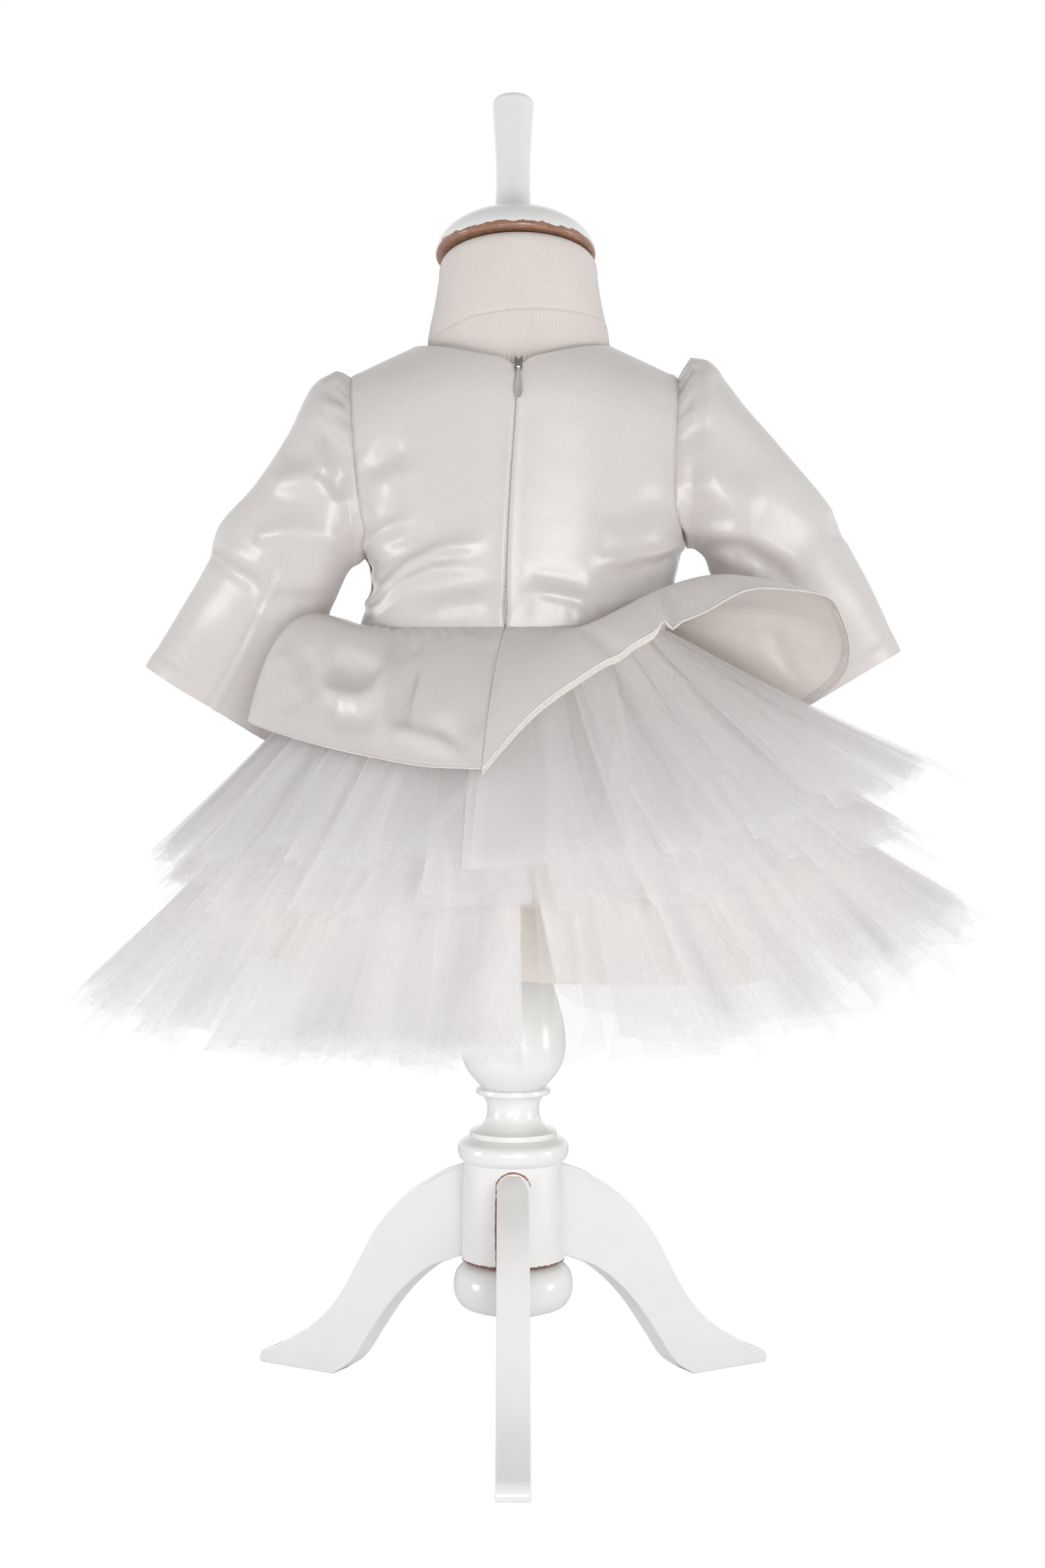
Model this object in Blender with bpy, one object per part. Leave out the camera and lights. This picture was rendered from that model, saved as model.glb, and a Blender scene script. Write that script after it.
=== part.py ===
# Baby's christening gown, seen from behind, on a limbless dress form with a turned wooden stand.
# Sizes are in millimetres until make_object turns them into metres. +Z is up, the zip faces -Y.
import math
import random
from collections import namedtuple

import bmesh
import bpy
from mathutils import Matrix, Vector

MM = 0.001

# Driving sizes of the gown
CLOTH_WALL = 1.2
TULLE_WALL = 1.0
SEAM_GAP = 0.36
WAIST_HEIGHT = 455.0
WAIST_LIFT = 9.0
SHOULDER_TIP_HEIGHT = 605.0
SHOULDER_TIP_REACH = 96.0
NECK_POINT_HEIGHT = 621.0
NECK_POINT_REACH = 60.0
NECK_RIDGE_RISE = 17.0
NECK_BACK_REACH = 56.0
NECK_FRONT_REACH = 61.0
NECK_NOTCH = 5.0
SHOULDER_ROUND_FROM = 0.72
BODY_SQUARENESS = 2.5

# The bodice, by height from the waist (0) to the shoulder seam (1)
BodyLevel = namedtuple("BodyLevel", "level half_width back_depth front_depth shift seam")
BODY_LEVELS = [
    BodyLevel(0.00, 90.0, 61.0, 63.0, -1.0, -4.5),
    BodyLevel(0.15, 89.5, 61.5, 65.0, 5.5, -4.0),
    BodyLevel(0.30, 93.0, 62.0, 66.0, 6.5, -3.0),
    BodyLevel(0.45, 97.0, 62.0, 66.0, 3.0, -1.5),
    BodyLevel(0.70, 99.5, 61.5, 64.0, 1.0, 1.5),
    BodyLevel(1.00, 101.5, 60.5, 62.5, 0.5, 3.0),
]

# How far in from the body's side the armhole seam runs, by height above the underarm
ArmholeLevel = namedtuple("ArmholeLevel", "rise share")
ARMHOLE_LEVELS = [
    ArmholeLevel(0.00, 1.000),
    ArmholeLevel(0.05, 0.975),
    ArmholeLevel(0.14, 0.950),
    ArmholeLevel(0.40, 0.938),
    ArmholeLevel(1.00, 0.945),
]
UNDERARM_LEVEL = {-1: 0.285, 1: 0.335}
ARMHOLE_RISES = (0.0, 0.03, 0.09, 0.20, 0.36, 0.54, 0.70, 0.83, 0.92, 0.975, 1.0)
LOWER_BODICE_ROWS = 4
BACK_COLUMNS = 7
FRONT_COLUMNS = 14

# Sleeves, by how far down: the outer and inner edge as seen from behind, the half depth and the swing to the front
SleeveSection = namedtuple(
    "SleeveSection", "down outer_x outer_z inner_x inner_z half_depth forward")
LEFT_SLEEVE = [
    SleeveSection(0.04, -104, 607.5, -91, 495.5, 31, 0),
    SleeveSection(0.12, -118, 600, -96, 493, 34, 1),
    SleeveSection(0.25, -133, 572, -101, 485, 35, 5),
    SleeveSection(0.40, -154, 543, -107, 472, 34, 13),
    SleeveSection(0.55, -177, 521, -114, 457, 32, 29),
    SleeveSection(0.66, -186, 500, -121, 444, 30, 42),
    SleeveSection(0.82, -203, 475, -133, 421, 27, 55),
    SleeveSection(1.00, -228, 438, -152, 391, 24, 66),
]
RIGHT_SLEEVE = [
    SleeveSection(0.04, 105, 616.0, 102.5, 504.5, 31, 0),
    SleeveSection(0.12, 117, 612, 108, 504, 34, 1),
    SleeveSection(0.25, 139, 586, 114, 497, 35, 5),
    SleeveSection(0.40, 164, 560, 119, 485, 34, 13),
    SleeveSection(0.55, 191, 532, 127, 470, 32, 29),
    SleeveSection(0.66, 203, 512, 134, 457, 30, 42),
    SleeveSection(0.82, 219, 487, 145, 434, 27, 56),
    SleeveSection(1.00, 239.5, 447, 162, 402, 24, 68),
]

# Peplum, by angle round the waist from the centre back: the hem and the crown that the cloth arches over
PeplumLine = namedtuple("PeplumLine", "angle hem_x hem_y hem_z crown_x crown_y crown_z")
LEFT_PEPLUM = [
    PeplumLine(0, -17, -132, 376, -11, -98, 436),
    PeplumLine(22, -49, -127, 377.5, -36, -96, 441),
    PeplumLine(38, -80, -114, 383, -58, -82, 448),
    PeplumLine(50, -108, -92, 389, -70, -74, 462),
    PeplumLine(62, -134, -64, 396, -92, -66, 470),
    PeplumLine(76, -150, -34, 401, -120, -44, 485),
    PeplumLine(92, -154, -6, 403, -136, -18, 488),
    PeplumLine(106, -145, 22, 397, -114, 14, 446),
    PeplumLine(120, -130, 52, 391, -100, 38, 436),
    PeplumLine(138, -104, 84, 390, -80, 66, 448),
    PeplumLine(158, -56, 118, 388, -44, 92, 452),
    PeplumLine(180, 0, 130, 386, 0, 100, 450),
]
RIGHT_PEPLUM = [
    PeplumLine(0, -17, -132, 376, -11, -98, 436),
    PeplumLine(17, 11, -134, 407, 14, -98, 449),
    PeplumLine(30, 40, -134, 428, 38, -96, 462),
    PeplumLine(43, 72, -134, 447, 62, -90, 478),
    PeplumLine(53, 101, -128, 459, 80, -84, 490),
    PeplumLine(64, 126, -116, 472, 104, -68, 497),
    PeplumLine(75, 155, -85, 474, 128, -44, 496),
    PeplumLine(84, 184, -47, 470, 142, -22, 489),
    PeplumLine(93, 197, -20, 449, 152, -4, 482),
    PeplumLine(102, 194, -2, 429, 148, 4, 466),
    PeplumLine(112, 176, 14, 413, 128, 16, 452),
    PeplumLine(124, 148, 44, 406, 108, 38, 448),
    PeplumLine(138, 116, 80, 399, 88, 62, 452),
    PeplumLine(158, 60, 118, 390, 46, 92, 452),
    PeplumLine(180, 0, 130, 386, 0, 100, 450),
]
PEPLUM_COLUMNS = 26
PEPLUM_ROWS = 7
PEPLUM_ROOT_OUT = 1.15
PEPLUM_ROOT_DROP = 1.3

# Lining skirt, by height: how far it stands out from the waist
LiningLevel = namedtuple("LiningLevel", "height out")
LINING_LEVELS = [
    LiningLevel(262, 64),
    LiningLevel(300, 50),
    LiningLevel(345, 32),
    LiningLevel(395, 13),
    LiningLevel(425, 5),
    LiningLevel(452.6, 0.0),
]
LINING_ROWS = 7
LINING_COLUMNS = 40
LINING_HEM_TILT = 8.0
LINING_WAVES = 9
LINING_WAVE_HEIGHT = 3.0

# Tulle tiers, by angle round the waist: how far the hem reaches out from the root and how far it drops
TierLine = namedtuple("TierLine", "angle reach drop")
Tier = namedtuple("Tier", "name root_height waves wave_height sag slit lines")
TOP_LINES = [
    TierLine(0, 94, 118),
    TierLine(45, 112, 104),
    TierLine(80, 147, 78),
    TierLine(100, 128, 98),
    TierLine(125, 96, 120),
    TierLine(180, 92, 116),
    TierLine(235, 88, 120),
    TierLine(270, 112, 119),
    TierLine(315, 100, 118),
    TierLine(360, 94, 118),
]
MIDDLE_LINES = [
    TierLine(0, 100, 118),
    TierLine(45, 112, 106),
    TierLine(80, 130, 88),
    TierLine(100, 118, 104),
    TierLine(125, 94, 124),
    TierLine(180, 94, 122),
    TierLine(235, 88, 118),
    TierLine(270, 106, 114),
    TierLine(315, 100, 120),
    TierLine(360, 100, 118),
]
BOTTOM_LINES = [
    TierLine(0, 122, 166),
    TierLine(45, 134, 148),
    TierLine(80, 154, 104),
    TierLine(100, 146, 122),
    TierLine(125, 124, 154),
    TierLine(180, 122, 166),
    TierLine(235, 122, 168),
    TierLine(270, 140, 148),
    TierLine(315, 128, 160),
    TierLine(360, 122, 166),
]
TIERS = [
    Tier("tulle_tier_top", 446.0, 60, 4.2, 5.0, 0.0, TOP_LINES),
    Tier("tulle_tier_middle", 423.0, 62, 4.4, 7.0, 0.0, MIDDLE_LINES),
    Tier("tulle_tier_bottom", 397.0, 66, 5.0, 8.0, 90.0, BOTTOM_LINES),
]
TIER_ROWS = 3
TIER_JAG = 7.0
SLIT_CORNER = 5.5

# Zip along the centre back
ZIP_CHAIN_WIDTH = 6.0
ZIP_CHAIN_WALL = 0.9
ZIP_CHAIN_GAP = 0.6
ZIP_FOOT_HEIGHT = 456.5
ZIP_HEAD_HEIGHT = 599.0
ZIP_CENTRE_X = 3.0
SLIDER_WIDTH = 4.8
SLIDER_LENGTH = 9.0
SLIDER_THICKNESS = 1.6
SLIDER_TILT = 20.0
SLIDER_LIFT = 0.6
SLIDER_HEIGHT = 602.5
CHEEK_THICKNESS = 0.8
CHEEK_REACH = 2.4
PULL_LENGTH = 19.0
PULL_WIDTH = 4.7
PULL_NECK_WIDTH = 2.0
PULL_THICKNESS = 0.9
PULL_BARREL_RADIUS = 0.8
PULL_TILT = 11.0

# Dress form, by height: the half width and the depths to the back and the front
FormLevel = namedtuple("FormLevel", "level half_width back_depth front_depth")
FORM_LEVELS = [
    FormLevel(-0.84, 34.0, 30.0, 30.0),
    FormLevel(-0.82, 56.0, 46.0, 46.0),
    FormLevel(-0.74, 72.0, 54.0, 56.0),
    FormLevel(-0.50, 82.0, 57.0, 61.0),
    FormLevel(-0.20, 84.0, 56.0, 62.0),
    FormLevel(0.00, 83.0, 54.0, 60.0),
    FormLevel(0.20, 84.0, 55.0, 60.0),
    FormLevel(0.45, 88.0, 56.0, 60.0),
    FormLevel(0.70, 90.5, 56.0, 58.5),
    FormLevel(1.00, 91.0, 55.0, 57.0),
]
FORM_SHIFT = 2.0
FORM_RIDGE_DROP = 3.8
FORM_LOWER_SCALE = 184.0
FORM_COLUMNS = 30
FORM_ROWS = (-0.84, -0.83, -0.80, -0.72, -0.56, -0.38, -0.18, 0.02, 0.22, 0.42, 0.58,
             0.70, 0.80, 0.88, 0.94, 0.975)
NeckLevel = namedtuple("NeckLevel", "height half_width half_depth")
NECK_LEVELS = [
    NeckLevel(572, 49.0, 42.0),
    NeckLevel(604, 54.0, 47.0),
    NeckLevel(618, 54.0, 47.5),
    NeckLevel(631, 52.5, 47.0),
    NeckLevel(645, 49.5, 46.5),
    NeckLevel(660, 47.0, 46.0),
    NeckLevel(669, 46.0, 45.0),
    NeckLevel(672.5, 43.5, 42.5),
    NeckLevel(674, 39.5, 39.0),
]
NECK_COLUMNS = 32
NECK_CENTRE_X = 3.0
HEAD_CENTRE_X = 1.5
HEAD_TILT = 11.0

# Turned wood, each profile from its foot up
TurnedPoint = namedtuple("TurnedPoint", "radius height")
CAP_PROFILE = [
    TurnedPoint(45.6, 0.0),
    TurnedPoint(46.9, 1.4),
    TurnedPoint(47.0, 4.5),
    TurnedPoint(45.8, 8.5),
    TurnedPoint(43.0, 12.8),
    TurnedPoint(38.0, 17.2),
    TurnedPoint(31.0, 21.2),
    TurnedPoint(22.0, 24.4),
    TurnedPoint(14.5, 26.0),
]
FINIAL_PROFILE = [
    TurnedPoint(11.2, 0.0),
    TurnedPoint(10.5, 10.0),
    TurnedPoint(10.2, 28.0),
    TurnedPoint(11.0, 49.0),
    TurnedPoint(12.2, 68.5),
    TurnedPoint(12.3, 72.4),
    TurnedPoint(11.4, 73.8),
]
COLUMN_PROFILE = [
    TurnedPoint(30.5, 83.0),
    TurnedPoint(30.0, 106.0),
    TurnedPoint(29.3, 140.5),
    TurnedPoint(29.3, 142.5),
    TurnedPoint(31.6, 145.0),
    TurnedPoint(32.8, 149.0),
    TurnedPoint(32.0, 153.5),
    TurnedPoint(28.0, 156.2),
    TurnedPoint(25.8, 157.5),
    TurnedPoint(25.8, 160.5),
    TurnedPoint(20.5, 162.5),
    TurnedPoint(16.5, 167.0),
    TurnedPoint(15.4, 173.0),
    TurnedPoint(16.4, 179.0),
    TurnedPoint(19.0, 182.0),
    TurnedPoint(21.7, 182.8),
    TurnedPoint(21.7, 185.6),
    TurnedPoint(18.8, 186.6),
    TurnedPoint(22.0, 190.0),
    TurnedPoint(28.0, 198.0),
    TurnedPoint(31.0, 209.0),
    TurnedPoint(30.3, 222.0),
    TurnedPoint(26.5, 238.0),
    TurnedPoint(21.5, 257.0),
    TurnedPoint(17.5, 276.0),
    TurnedPoint(17.0, 288.0),
    TurnedPoint(24.0, 291.5),
    TurnedPoint(24.0, 299.6),
]
BUN_PROFILE = [
    TurnedPoint(24.0, 55.0),
    TurnedPoint(31.0, 58.0),
    TurnedPoint(34.6, 64.0),
    TurnedPoint(35.3, 70.5),
    TurnedPoint(33.8, 77.0),
    TurnedPoint(29.5, 81.5),
    TurnedPoint(22.0, 82.6),
]
TURNED_SIDES = 26

# One leg board, from the top of its tenon out along the top edge and back under
LegPoint = namedtuple("LegPoint", "reach height")
LEG_OUTLINE = [
    LegPoint(24.2, 139.0),
    LegPoint(31.0, 138.6),
    LegPoint(41.0, 135.5),
    LegPoint(52.0, 129.0),
    LegPoint(64.0, 121.5),
    LegPoint(77.0, 110.5),
    LegPoint(92.0, 93.5),
    LegPoint(105.0, 72.0),
    LegPoint(117.0, 52.0),
    LegPoint(129.0, 37.5),
    LegPoint(143.0, 26.0),
    LegPoint(164.0, 13.5),
    LegPoint(179.5, 3.5),
    LegPoint(179.0, 0.0),
    LegPoint(124.0, 0.0),
    LegPoint(112.0, 8.0),
    LegPoint(98.0, 27.0),
    LegPoint(82.0, 49.0),
    LegPoint(61.5, 69.0),
    LegPoint(50.0, 76.5),
    LegPoint(39.5, 80.5),
    LegPoint(31.8, 83.6),
    LegPoint(24.2, 83.6),
]
LEG_THICKNESS = 18.6
LEG_BEVEL = 2.2
LEG_PLACES = {"leg_front": -90.0, "leg_back_left": 150.0, "leg_back_right": 30.0}
SLOT_GAP = 0.35


# Small helpers for shapes


def clear_scene():
    for thing in list(bpy.data.objects):
        bpy.data.objects.remove(thing, do_unlink=True)


def make_material(name, colour, roughness, metallic=0.0):
    material = bpy.data.materials.new(name)
    material.use_nodes = True
    shader = material.node_tree.nodes["Principled BSDF"]
    shader.inputs["Base Color"].default_value = (*colour, 1.0)
    shader.inputs["Roughness"].default_value = roughness
    shader.inputs["Metallic"].default_value = metallic
    return material


def make_object(name, points, faces, material, origin=(0.0, 0.0, 0.0)):
    mesh = bpy.data.meshes.new(name)
    mesh.from_pydata([(Vector(point) - Vector(origin)) * MM for point in points], [], faces)
    shape = bmesh.new()
    shape.from_mesh(mesh)
    if shape.calc_volume(signed=True) < 0:
        bmesh.ops.reverse_faces(shape, faces=shape.faces)
    shape.to_mesh(mesh)
    shape.free()
    mesh.materials.append(material)
    mesh.shade_smooth()
    mesh.set_sharp_from_angle(angle=math.radians(40))
    thing = bpy.data.objects.new(name, mesh)
    thing.location = Vector(origin) * MM
    bpy.context.collection.objects.link(thing)
    return thing


def row_slope(table, index, column):
    before = table[max(index - 1, 0)]
    after = table[min(index + 1, len(table) - 1)]
    return (after[column] - before[column]) / (after[0] - before[0])


def blend_rows(table, place):
    # The table's row at this place in its first column, smooth between the rows given
    place = min(max(place, table[0][0]), table[-1][0])
    index = max(i for i in range(len(table) - 1) if table[i][0] <= place)
    low, high = table[index], table[index + 1]
    span = high[0] - low[0]
    part = (place - low[0]) / span
    values = [place]
    for column in range(1, len(low)):
        start = row_slope(table, index, column) * span
        end = row_slope(table, index + 1, column) * span
        values.append(
            low[column] * (1 + 2 * part) * (1 - part) ** 2
            + start * part * (1 - part) ** 2
            + high[column] * part**2 * (3 - 2 * part)
            + end * part**2 * (part - 1)
        )
    return type(low)(*values)


def ease(low, high, value):
    part = min(max((value - low) / (high - low), 0.0), 1.0)
    return part * part * (3 - 2 * part)


def rounded(value):
    # Turns a sine or cosine into that of a squarish oval
    return math.copysign(abs(value) ** (2 / BODY_SQUARENESS), value)


def grid_normals(grid, closed):
    rows, columns = len(grid), len(grid[0])
    normals = []
    for i in range(rows):
        line = []
        for j in range(columns):
            up = grid[min(i + 1, rows - 1)][j] - grid[max(i - 1, 0)][j]
            if closed:
                along = grid[i][(j + 1) % columns] - grid[i][j - 1]
            else:
                along = grid[i][min(j + 1, columns - 1)] - grid[i][max(j - 1, 0)]
            line.append(along.cross(up).normalized())
        normals.append(line)
    return normals


def wall_between(name, front, back, closed, material):
    # A closed wall from two grids of points that face each other
    rows, columns = len(front), len(front[0])
    points = [point for grid in (front, back) for line in grid for point in line]
    faces = []
    last = columns if closed else columns - 1

    def at(layer, i, j):
        return layer * rows * columns + i * columns + j % columns

    for i in range(rows - 1):
        for j in range(last):
            faces.append((at(0, i, j), at(0, i, j + 1), at(0, i + 1, j + 1), at(0, i + 1, j)))
            faces.append((at(1, i, j), at(1, i + 1, j), at(1, i + 1, j + 1), at(1, i, j + 1)))
    for j in range(last):
        faces.append((at(0, 0, j), at(1, 0, j), at(1, 0, j + 1), at(0, 0, j + 1)))
        faces.append((at(0, rows - 1, j), at(0, rows - 1, j + 1),
                      at(1, rows - 1, j + 1), at(1, rows - 1, j)))
    if not closed:
        for i in range(rows - 1):
            faces.append((at(0, i, 0), at(0, i + 1, 0), at(1, i + 1, 0), at(1, i, 0)))
            faces.append((at(0, i, last), at(1, i, last), at(1, i + 1, last), at(0, i + 1, last)))
    return make_object(name, points, faces, material)


def cloth_wall(name, outer, thickness, closed, material, half=0):
    # The inner side is the outer side moved in along its own normals, which point out of the garment.
    # half is -1 for a piece that stays behind the side seams and 1 for one in front of them.
    normals = grid_normals(outer, closed)
    inner = [
        [point - normal * thickness for point, normal in zip(*lines)]
        for lines in zip(outer, normals)
    ]
    for point in [point for line in inner for point in line] if half else []:
        point.y = half * max(half * point.y, SEAM_GAP / 2)
    return wall_between(name, outer, inner, closed, material)


def turn_profile(name, profile, sides, material, centre=(0.0, 0.0, 0.0)):
    points = []
    for ring in profile:
        for side in range(sides):
            angle = 2 * math.pi * (side + 0.5) / sides
            points.append(Vector(centre) + Vector(
                (ring.radius * math.cos(angle), ring.radius * math.sin(angle), ring.height)))
    faces = [tuple(range(sides - 1, -1, -1))]
    for i in range(len(profile) - 1):
        for side in range(sides):
            low, next_low = i * sides + side, i * sides + (side + 1) % sides
            faces.append((low, next_low, next_low + sides, low + sides))
    faces.append(tuple(range((len(profile) - 1) * sides, len(profile) * sides)))
    return make_object(name, points, faces, material, centre)


# The body that the bodice follows


def ridge_height(x):
    reach = min(abs(x), SHOULDER_TIP_REACH + 8)
    if reach < NECK_POINT_REACH:
        return NECK_POINT_HEIGHT + NECK_RIDGE_RISE * (1 - (reach / NECK_POINT_REACH) ** 2)
    slope = (NECK_POINT_HEIGHT - SHOULDER_TIP_HEIGHT) / (SHOULDER_TIP_REACH - NECK_POINT_REACH)
    return NECK_POINT_HEIGHT - slope * (reach - NECK_POINT_REACH)


def waist_height(x):
    return WAIST_HEIGHT + WAIST_LIFT * ease(30, 90, x)


def shoulder_round(level):
    part = max(level - SHOULDER_ROUND_FROM, 0.0) / (1 - SHOULDER_ROUND_FROM)
    return math.sqrt(max(1 - part**2, 0.0))


def body_point(angle, level, off_seam=0.0):
    # Angle in degrees round the body: 0 at the centre back, 90 at the right side seam
    size = blend_rows(BODY_LEVELS, level)
    turn = math.radians(angle)
    side_share = abs(math.sin(turn))
    middle = size.seam * (1 - side_share) + size.shift * side_share
    x = middle + size.half_width * rounded(math.sin(turn))
    depth = size.back_depth if math.cos(turn) > 0 else size.front_depth
    y = -depth * rounded(math.cos(turn)) * shoulder_round(level)
    y += math.copysign(off_seam, y if abs(y) > 1e-6 else -math.cos(turn))
    z = waist_height(x) + (ridge_height(x) - waist_height(x)) * level
    return Vector((x, y, z))


def armhole_angle(level, side):
    underarm = UNDERARM_LEVEL[side]
    if level <= underarm:
        return 90.0
    share = blend_rows(ARMHOLE_LEVELS, (level - underarm) / (1 - underarm)).share
    return math.degrees(math.asin(min(share, 1.0) ** (BODY_SQUARENESS / 2)))


def neckline_level(angle, neck_reach, notch):
    # The highest level at which the body is still outside the neck opening's oval
    low, high = SHOULDER_ROUND_FROM, 1.0
    for _ in range(30):
        level = (low + high) / 2
        point = body_point(angle, level)
        across = min(abs(point.x) / NECK_POINT_REACH, 1.0)
        edge = neck_reach * math.sqrt(1 - across**2)
        low, high = (level, high) if abs(point.y) > edge else (low, level)
    middle_x = body_point(0.0, low).x
    dip = notch * math.exp(-((body_point(angle, low).x - middle_x) / 6) ** 2)
    return low - dip / (ridge_height(0) - WAIST_HEIGHT)


def bodice_levels(side):
    underarm = UNDERARM_LEVEL[side]
    below = [underarm * row / LOWER_BODICE_ROWS for row in range(LOWER_BODICE_ROWS)]
    return below + [underarm + (1 - underarm) * rise for rise in ARMHOLE_RISES]


def panel_line(fraction, side, facing, neck_reach, notch):
    # One line of points up a panel, from the waist to the neckline or the shoulder seam
    line = []
    edge_levels = bodice_levels(side)
    centre_angle = 0.0 if facing == "back" else 180.0
    top_angle = armhole_angle(1.0, side) * fraction * side
    top_angle = top_angle if facing == "back" else centre_angle - top_angle
    top = neckline_level(top_angle, neck_reach, notch)
    for level in edge_levels:
        angle = armhole_angle(level, side) * fraction * side
        angle = angle if facing == "back" else centre_angle - angle
        line.append(body_point(angle, level * top, SEAM_GAP / 2))
    return line


def bodice_back(side, material):
    name = "bodice_back_left" if side < 0 else "bodice_back_right"
    lines = []
    for column in range(BACK_COLUMNS + 1):
        fraction = 1 - (1 - column / BACK_COLUMNS) ** 1.15
        line = panel_line(fraction, side, "back", NECK_BACK_REACH, NECK_NOTCH)
        if column == 0:
            line = [point + Vector((side * SEAM_GAP, 0, 0)) for point in line]
        lines.append(line)
    if side < 0:
        lines.reverse()
    grid = [list(row) for row in zip(*lines)]
    return cloth_wall(name, grid, CLOTH_WALL, False, material, -1)


def bodice_front(material):
    lines = []
    for column in range(FRONT_COLUMNS + 1):
        across = 1 - 2 * column / FRONT_COLUMNS
        side = 1 if across >= 0 else -1
        lines.append(panel_line(abs(across), side, "front", NECK_FRONT_REACH, 0.0))
    grid = [list(row) for row in zip(*lines)]
    return cloth_wall("bodice_front", grid, CLOTH_WALL, False, material, 1)


# Sleeves


def armhole_ring(side):
    # From the shoulder seam down the back to the underarm, and up the front
    levels = bodice_levels(side)[LOWER_BODICE_ROWS:]
    back = [body_point(armhole_angle(level, side) * side, level, SEAM_GAP / 2)
            for level in reversed(levels)]
    front = [body_point(180 - armhole_angle(level, side) * side, level, SEAM_GAP / 2)
             for level in levels]
    return back + front


def ring_turns(ring):
    # How far round each point is, from 0 at the top through 0.5 at the underarm
    half = len(ring) // 2
    turns = []
    for part, offset in ((ring[:half], 0.0), (ring[half:], 0.5)):
        steps = [(b - a).length for a, b in zip(part, part[1:])]
        total = sum(steps)
        turns += [offset + 0.008 + 0.484 * sum(steps[:i]) / total for i in range(half)]
    return turns


def sleeve_point(section, turn):
    outer = Vector((section.outer_x, 0, section.outer_z))
    inner = Vector((section.inner_x, 0, section.inner_z))
    middle = (outer + inner) / 2 + Vector((0, section.forward, 0))
    angle = 2 * math.pi * turn
    return (middle + (outer - inner) / 2 * math.cos(angle)
            - Vector((0, section.half_depth * math.sin(angle), 0)))


def sleeve(side, material):
    name = "sleeve_left" if side < 0 else "sleeve_right"
    table = LEFT_SLEEVE if side < 0 else RIGHT_SLEEVE
    armhole = armhole_ring(side)
    turns = ring_turns(armhole)
    rings = [[point + Vector((side * SEAM_GAP * 1.3, 0, 0)) for point in armhole]]
    for section in table:
        rings.append([sleeve_point(section, turn) for turn in turns])
    if side > 0:
        rings = [list(reversed(ring)) for ring in rings]
    return cloth_wall(name, rings, -CLOTH_WALL, True, material)


# Peplum and skirts


def waist_point(angle, out, drop):
    point = body_point(angle, 0.0)
    centre = body_point(90, 0.0).lerp(body_point(-90, 0.0), 0.5)
    away = Vector((point.x - centre.x, 1.4 * (point.y - centre.y), 0)).normalized()
    return point + away * out - Vector((0, 0, drop))


def peplum_point(line, side, down):
    root = waist_point(side * line.angle, PEPLUM_ROOT_OUT, PEPLUM_ROOT_DROP)
    crown = Vector((line.crown_x, line.crown_y, line.crown_z))
    hem = Vector((line.hem_x, line.hem_y, line.hem_z))
    return root * (1 - down) ** 2 + crown * 2 * down * (1 - down) + hem * down**2


def peplum(side, material):
    name = "peplum_left" if side < 0 else "peplum_right"
    table = LEFT_PEPLUM if side < 0 else RIGHT_PEPLUM
    lines = []
    for column in range(PEPLUM_COLUMNS + 1):
        line = blend_rows(table, 180 * column / PEPLUM_COLUMNS)
        points = [peplum_point(line, side, row / (PEPLUM_ROWS - 1)) for row in range(PEPLUM_ROWS)]
        if column in (0, PEPLUM_COLUMNS):
            points = [point + Vector((side * SEAM_GAP / 2, 0, 0)) for point in points]
        lines.append(points)
    if side > 0:
        lines.reverse()
    grid = [list(row) for row in zip(*lines)]
    return cloth_wall(name, grid, CLOTH_WALL, False, material)


def lining_point(angle, down, out=0.0):
    # The lining skirt's outer side, from the waist (0) to the hem (1)
    tilt = LINING_HEM_TILT * math.sin(math.radians(angle))
    height = LINING_LEVELS[-1].height + (LINING_LEVELS[0].height - LINING_LEVELS[-1].height) * down
    level = blend_rows(LINING_LEVELS, height)
    wave = LINING_WAVE_HEIGHT * down**2 * math.sin(math.radians(LINING_WAVES * angle))
    point = waist_point(angle, level.out + wave + out, 0.0)
    lift = (waist_height(point.x) - WAIST_HEIGHT) * (1 - down)
    point.z = height - tilt * down**2 + lift
    return point


def lining_skirt(material):
    rings = []
    for row in range(LINING_ROWS):
        down = row / (LINING_ROWS - 1)
        rings.append([lining_point(-360 * column / LINING_COLUMNS, down)
                      for column in range(LINING_COLUMNS)])
    return cloth_wall("lining_skirt", rings, CLOTH_WALL, True, material)


def tier_point(tier, angle, down, crest, jag):
    line = blend_rows(tier.lines, angle % 360)
    root_down = (LINING_LEVELS[-1].height - tier.root_height) / (
        LINING_LEVELS[-1].height - LINING_LEVELS[0].height)
    start = SEAM_GAP + TULLE_WALL / 2 + tier_wave(tier, 0.0) + 0.4
    root = lining_point(angle, root_down, start)
    ahead = lining_point(angle, root_down, start + 10)
    away = (ahead - root)
    away.z = 0
    away.normalize()
    hem = root + away * line.reach - Vector((0, 0, line.drop))
    along = (hem - root).normalized()
    hem += along * jag
    middle = (root + hem) / 2 - Vector((0, 0, tier.sag))
    point = root * (1 - down) ** 2 + middle * 2 * down * (1 - down) + hem * down**2
    across = Vector((-away.y, away.x, 0))
    lift = along.cross(across).normalized()
    lift = lift if lift.z > 0 else -lift
    return point + lift * crest * tier_wave(tier, down)


def tier_wave(tier, down):
    # Half the height of a pleat, which opens out towards the hem
    return 0.5 + (tier.wave_height - 0.5) * down


def slit_edges(tier, down):
    # The angle of the left edge of the slit, and how much wider the opening is there
    if tier.slit == 0:
        return 0.0, 0.0
    left = 0.6 + 1.4 * down
    right = 1.2 + 2.0 * down
    return left, right - left


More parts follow.
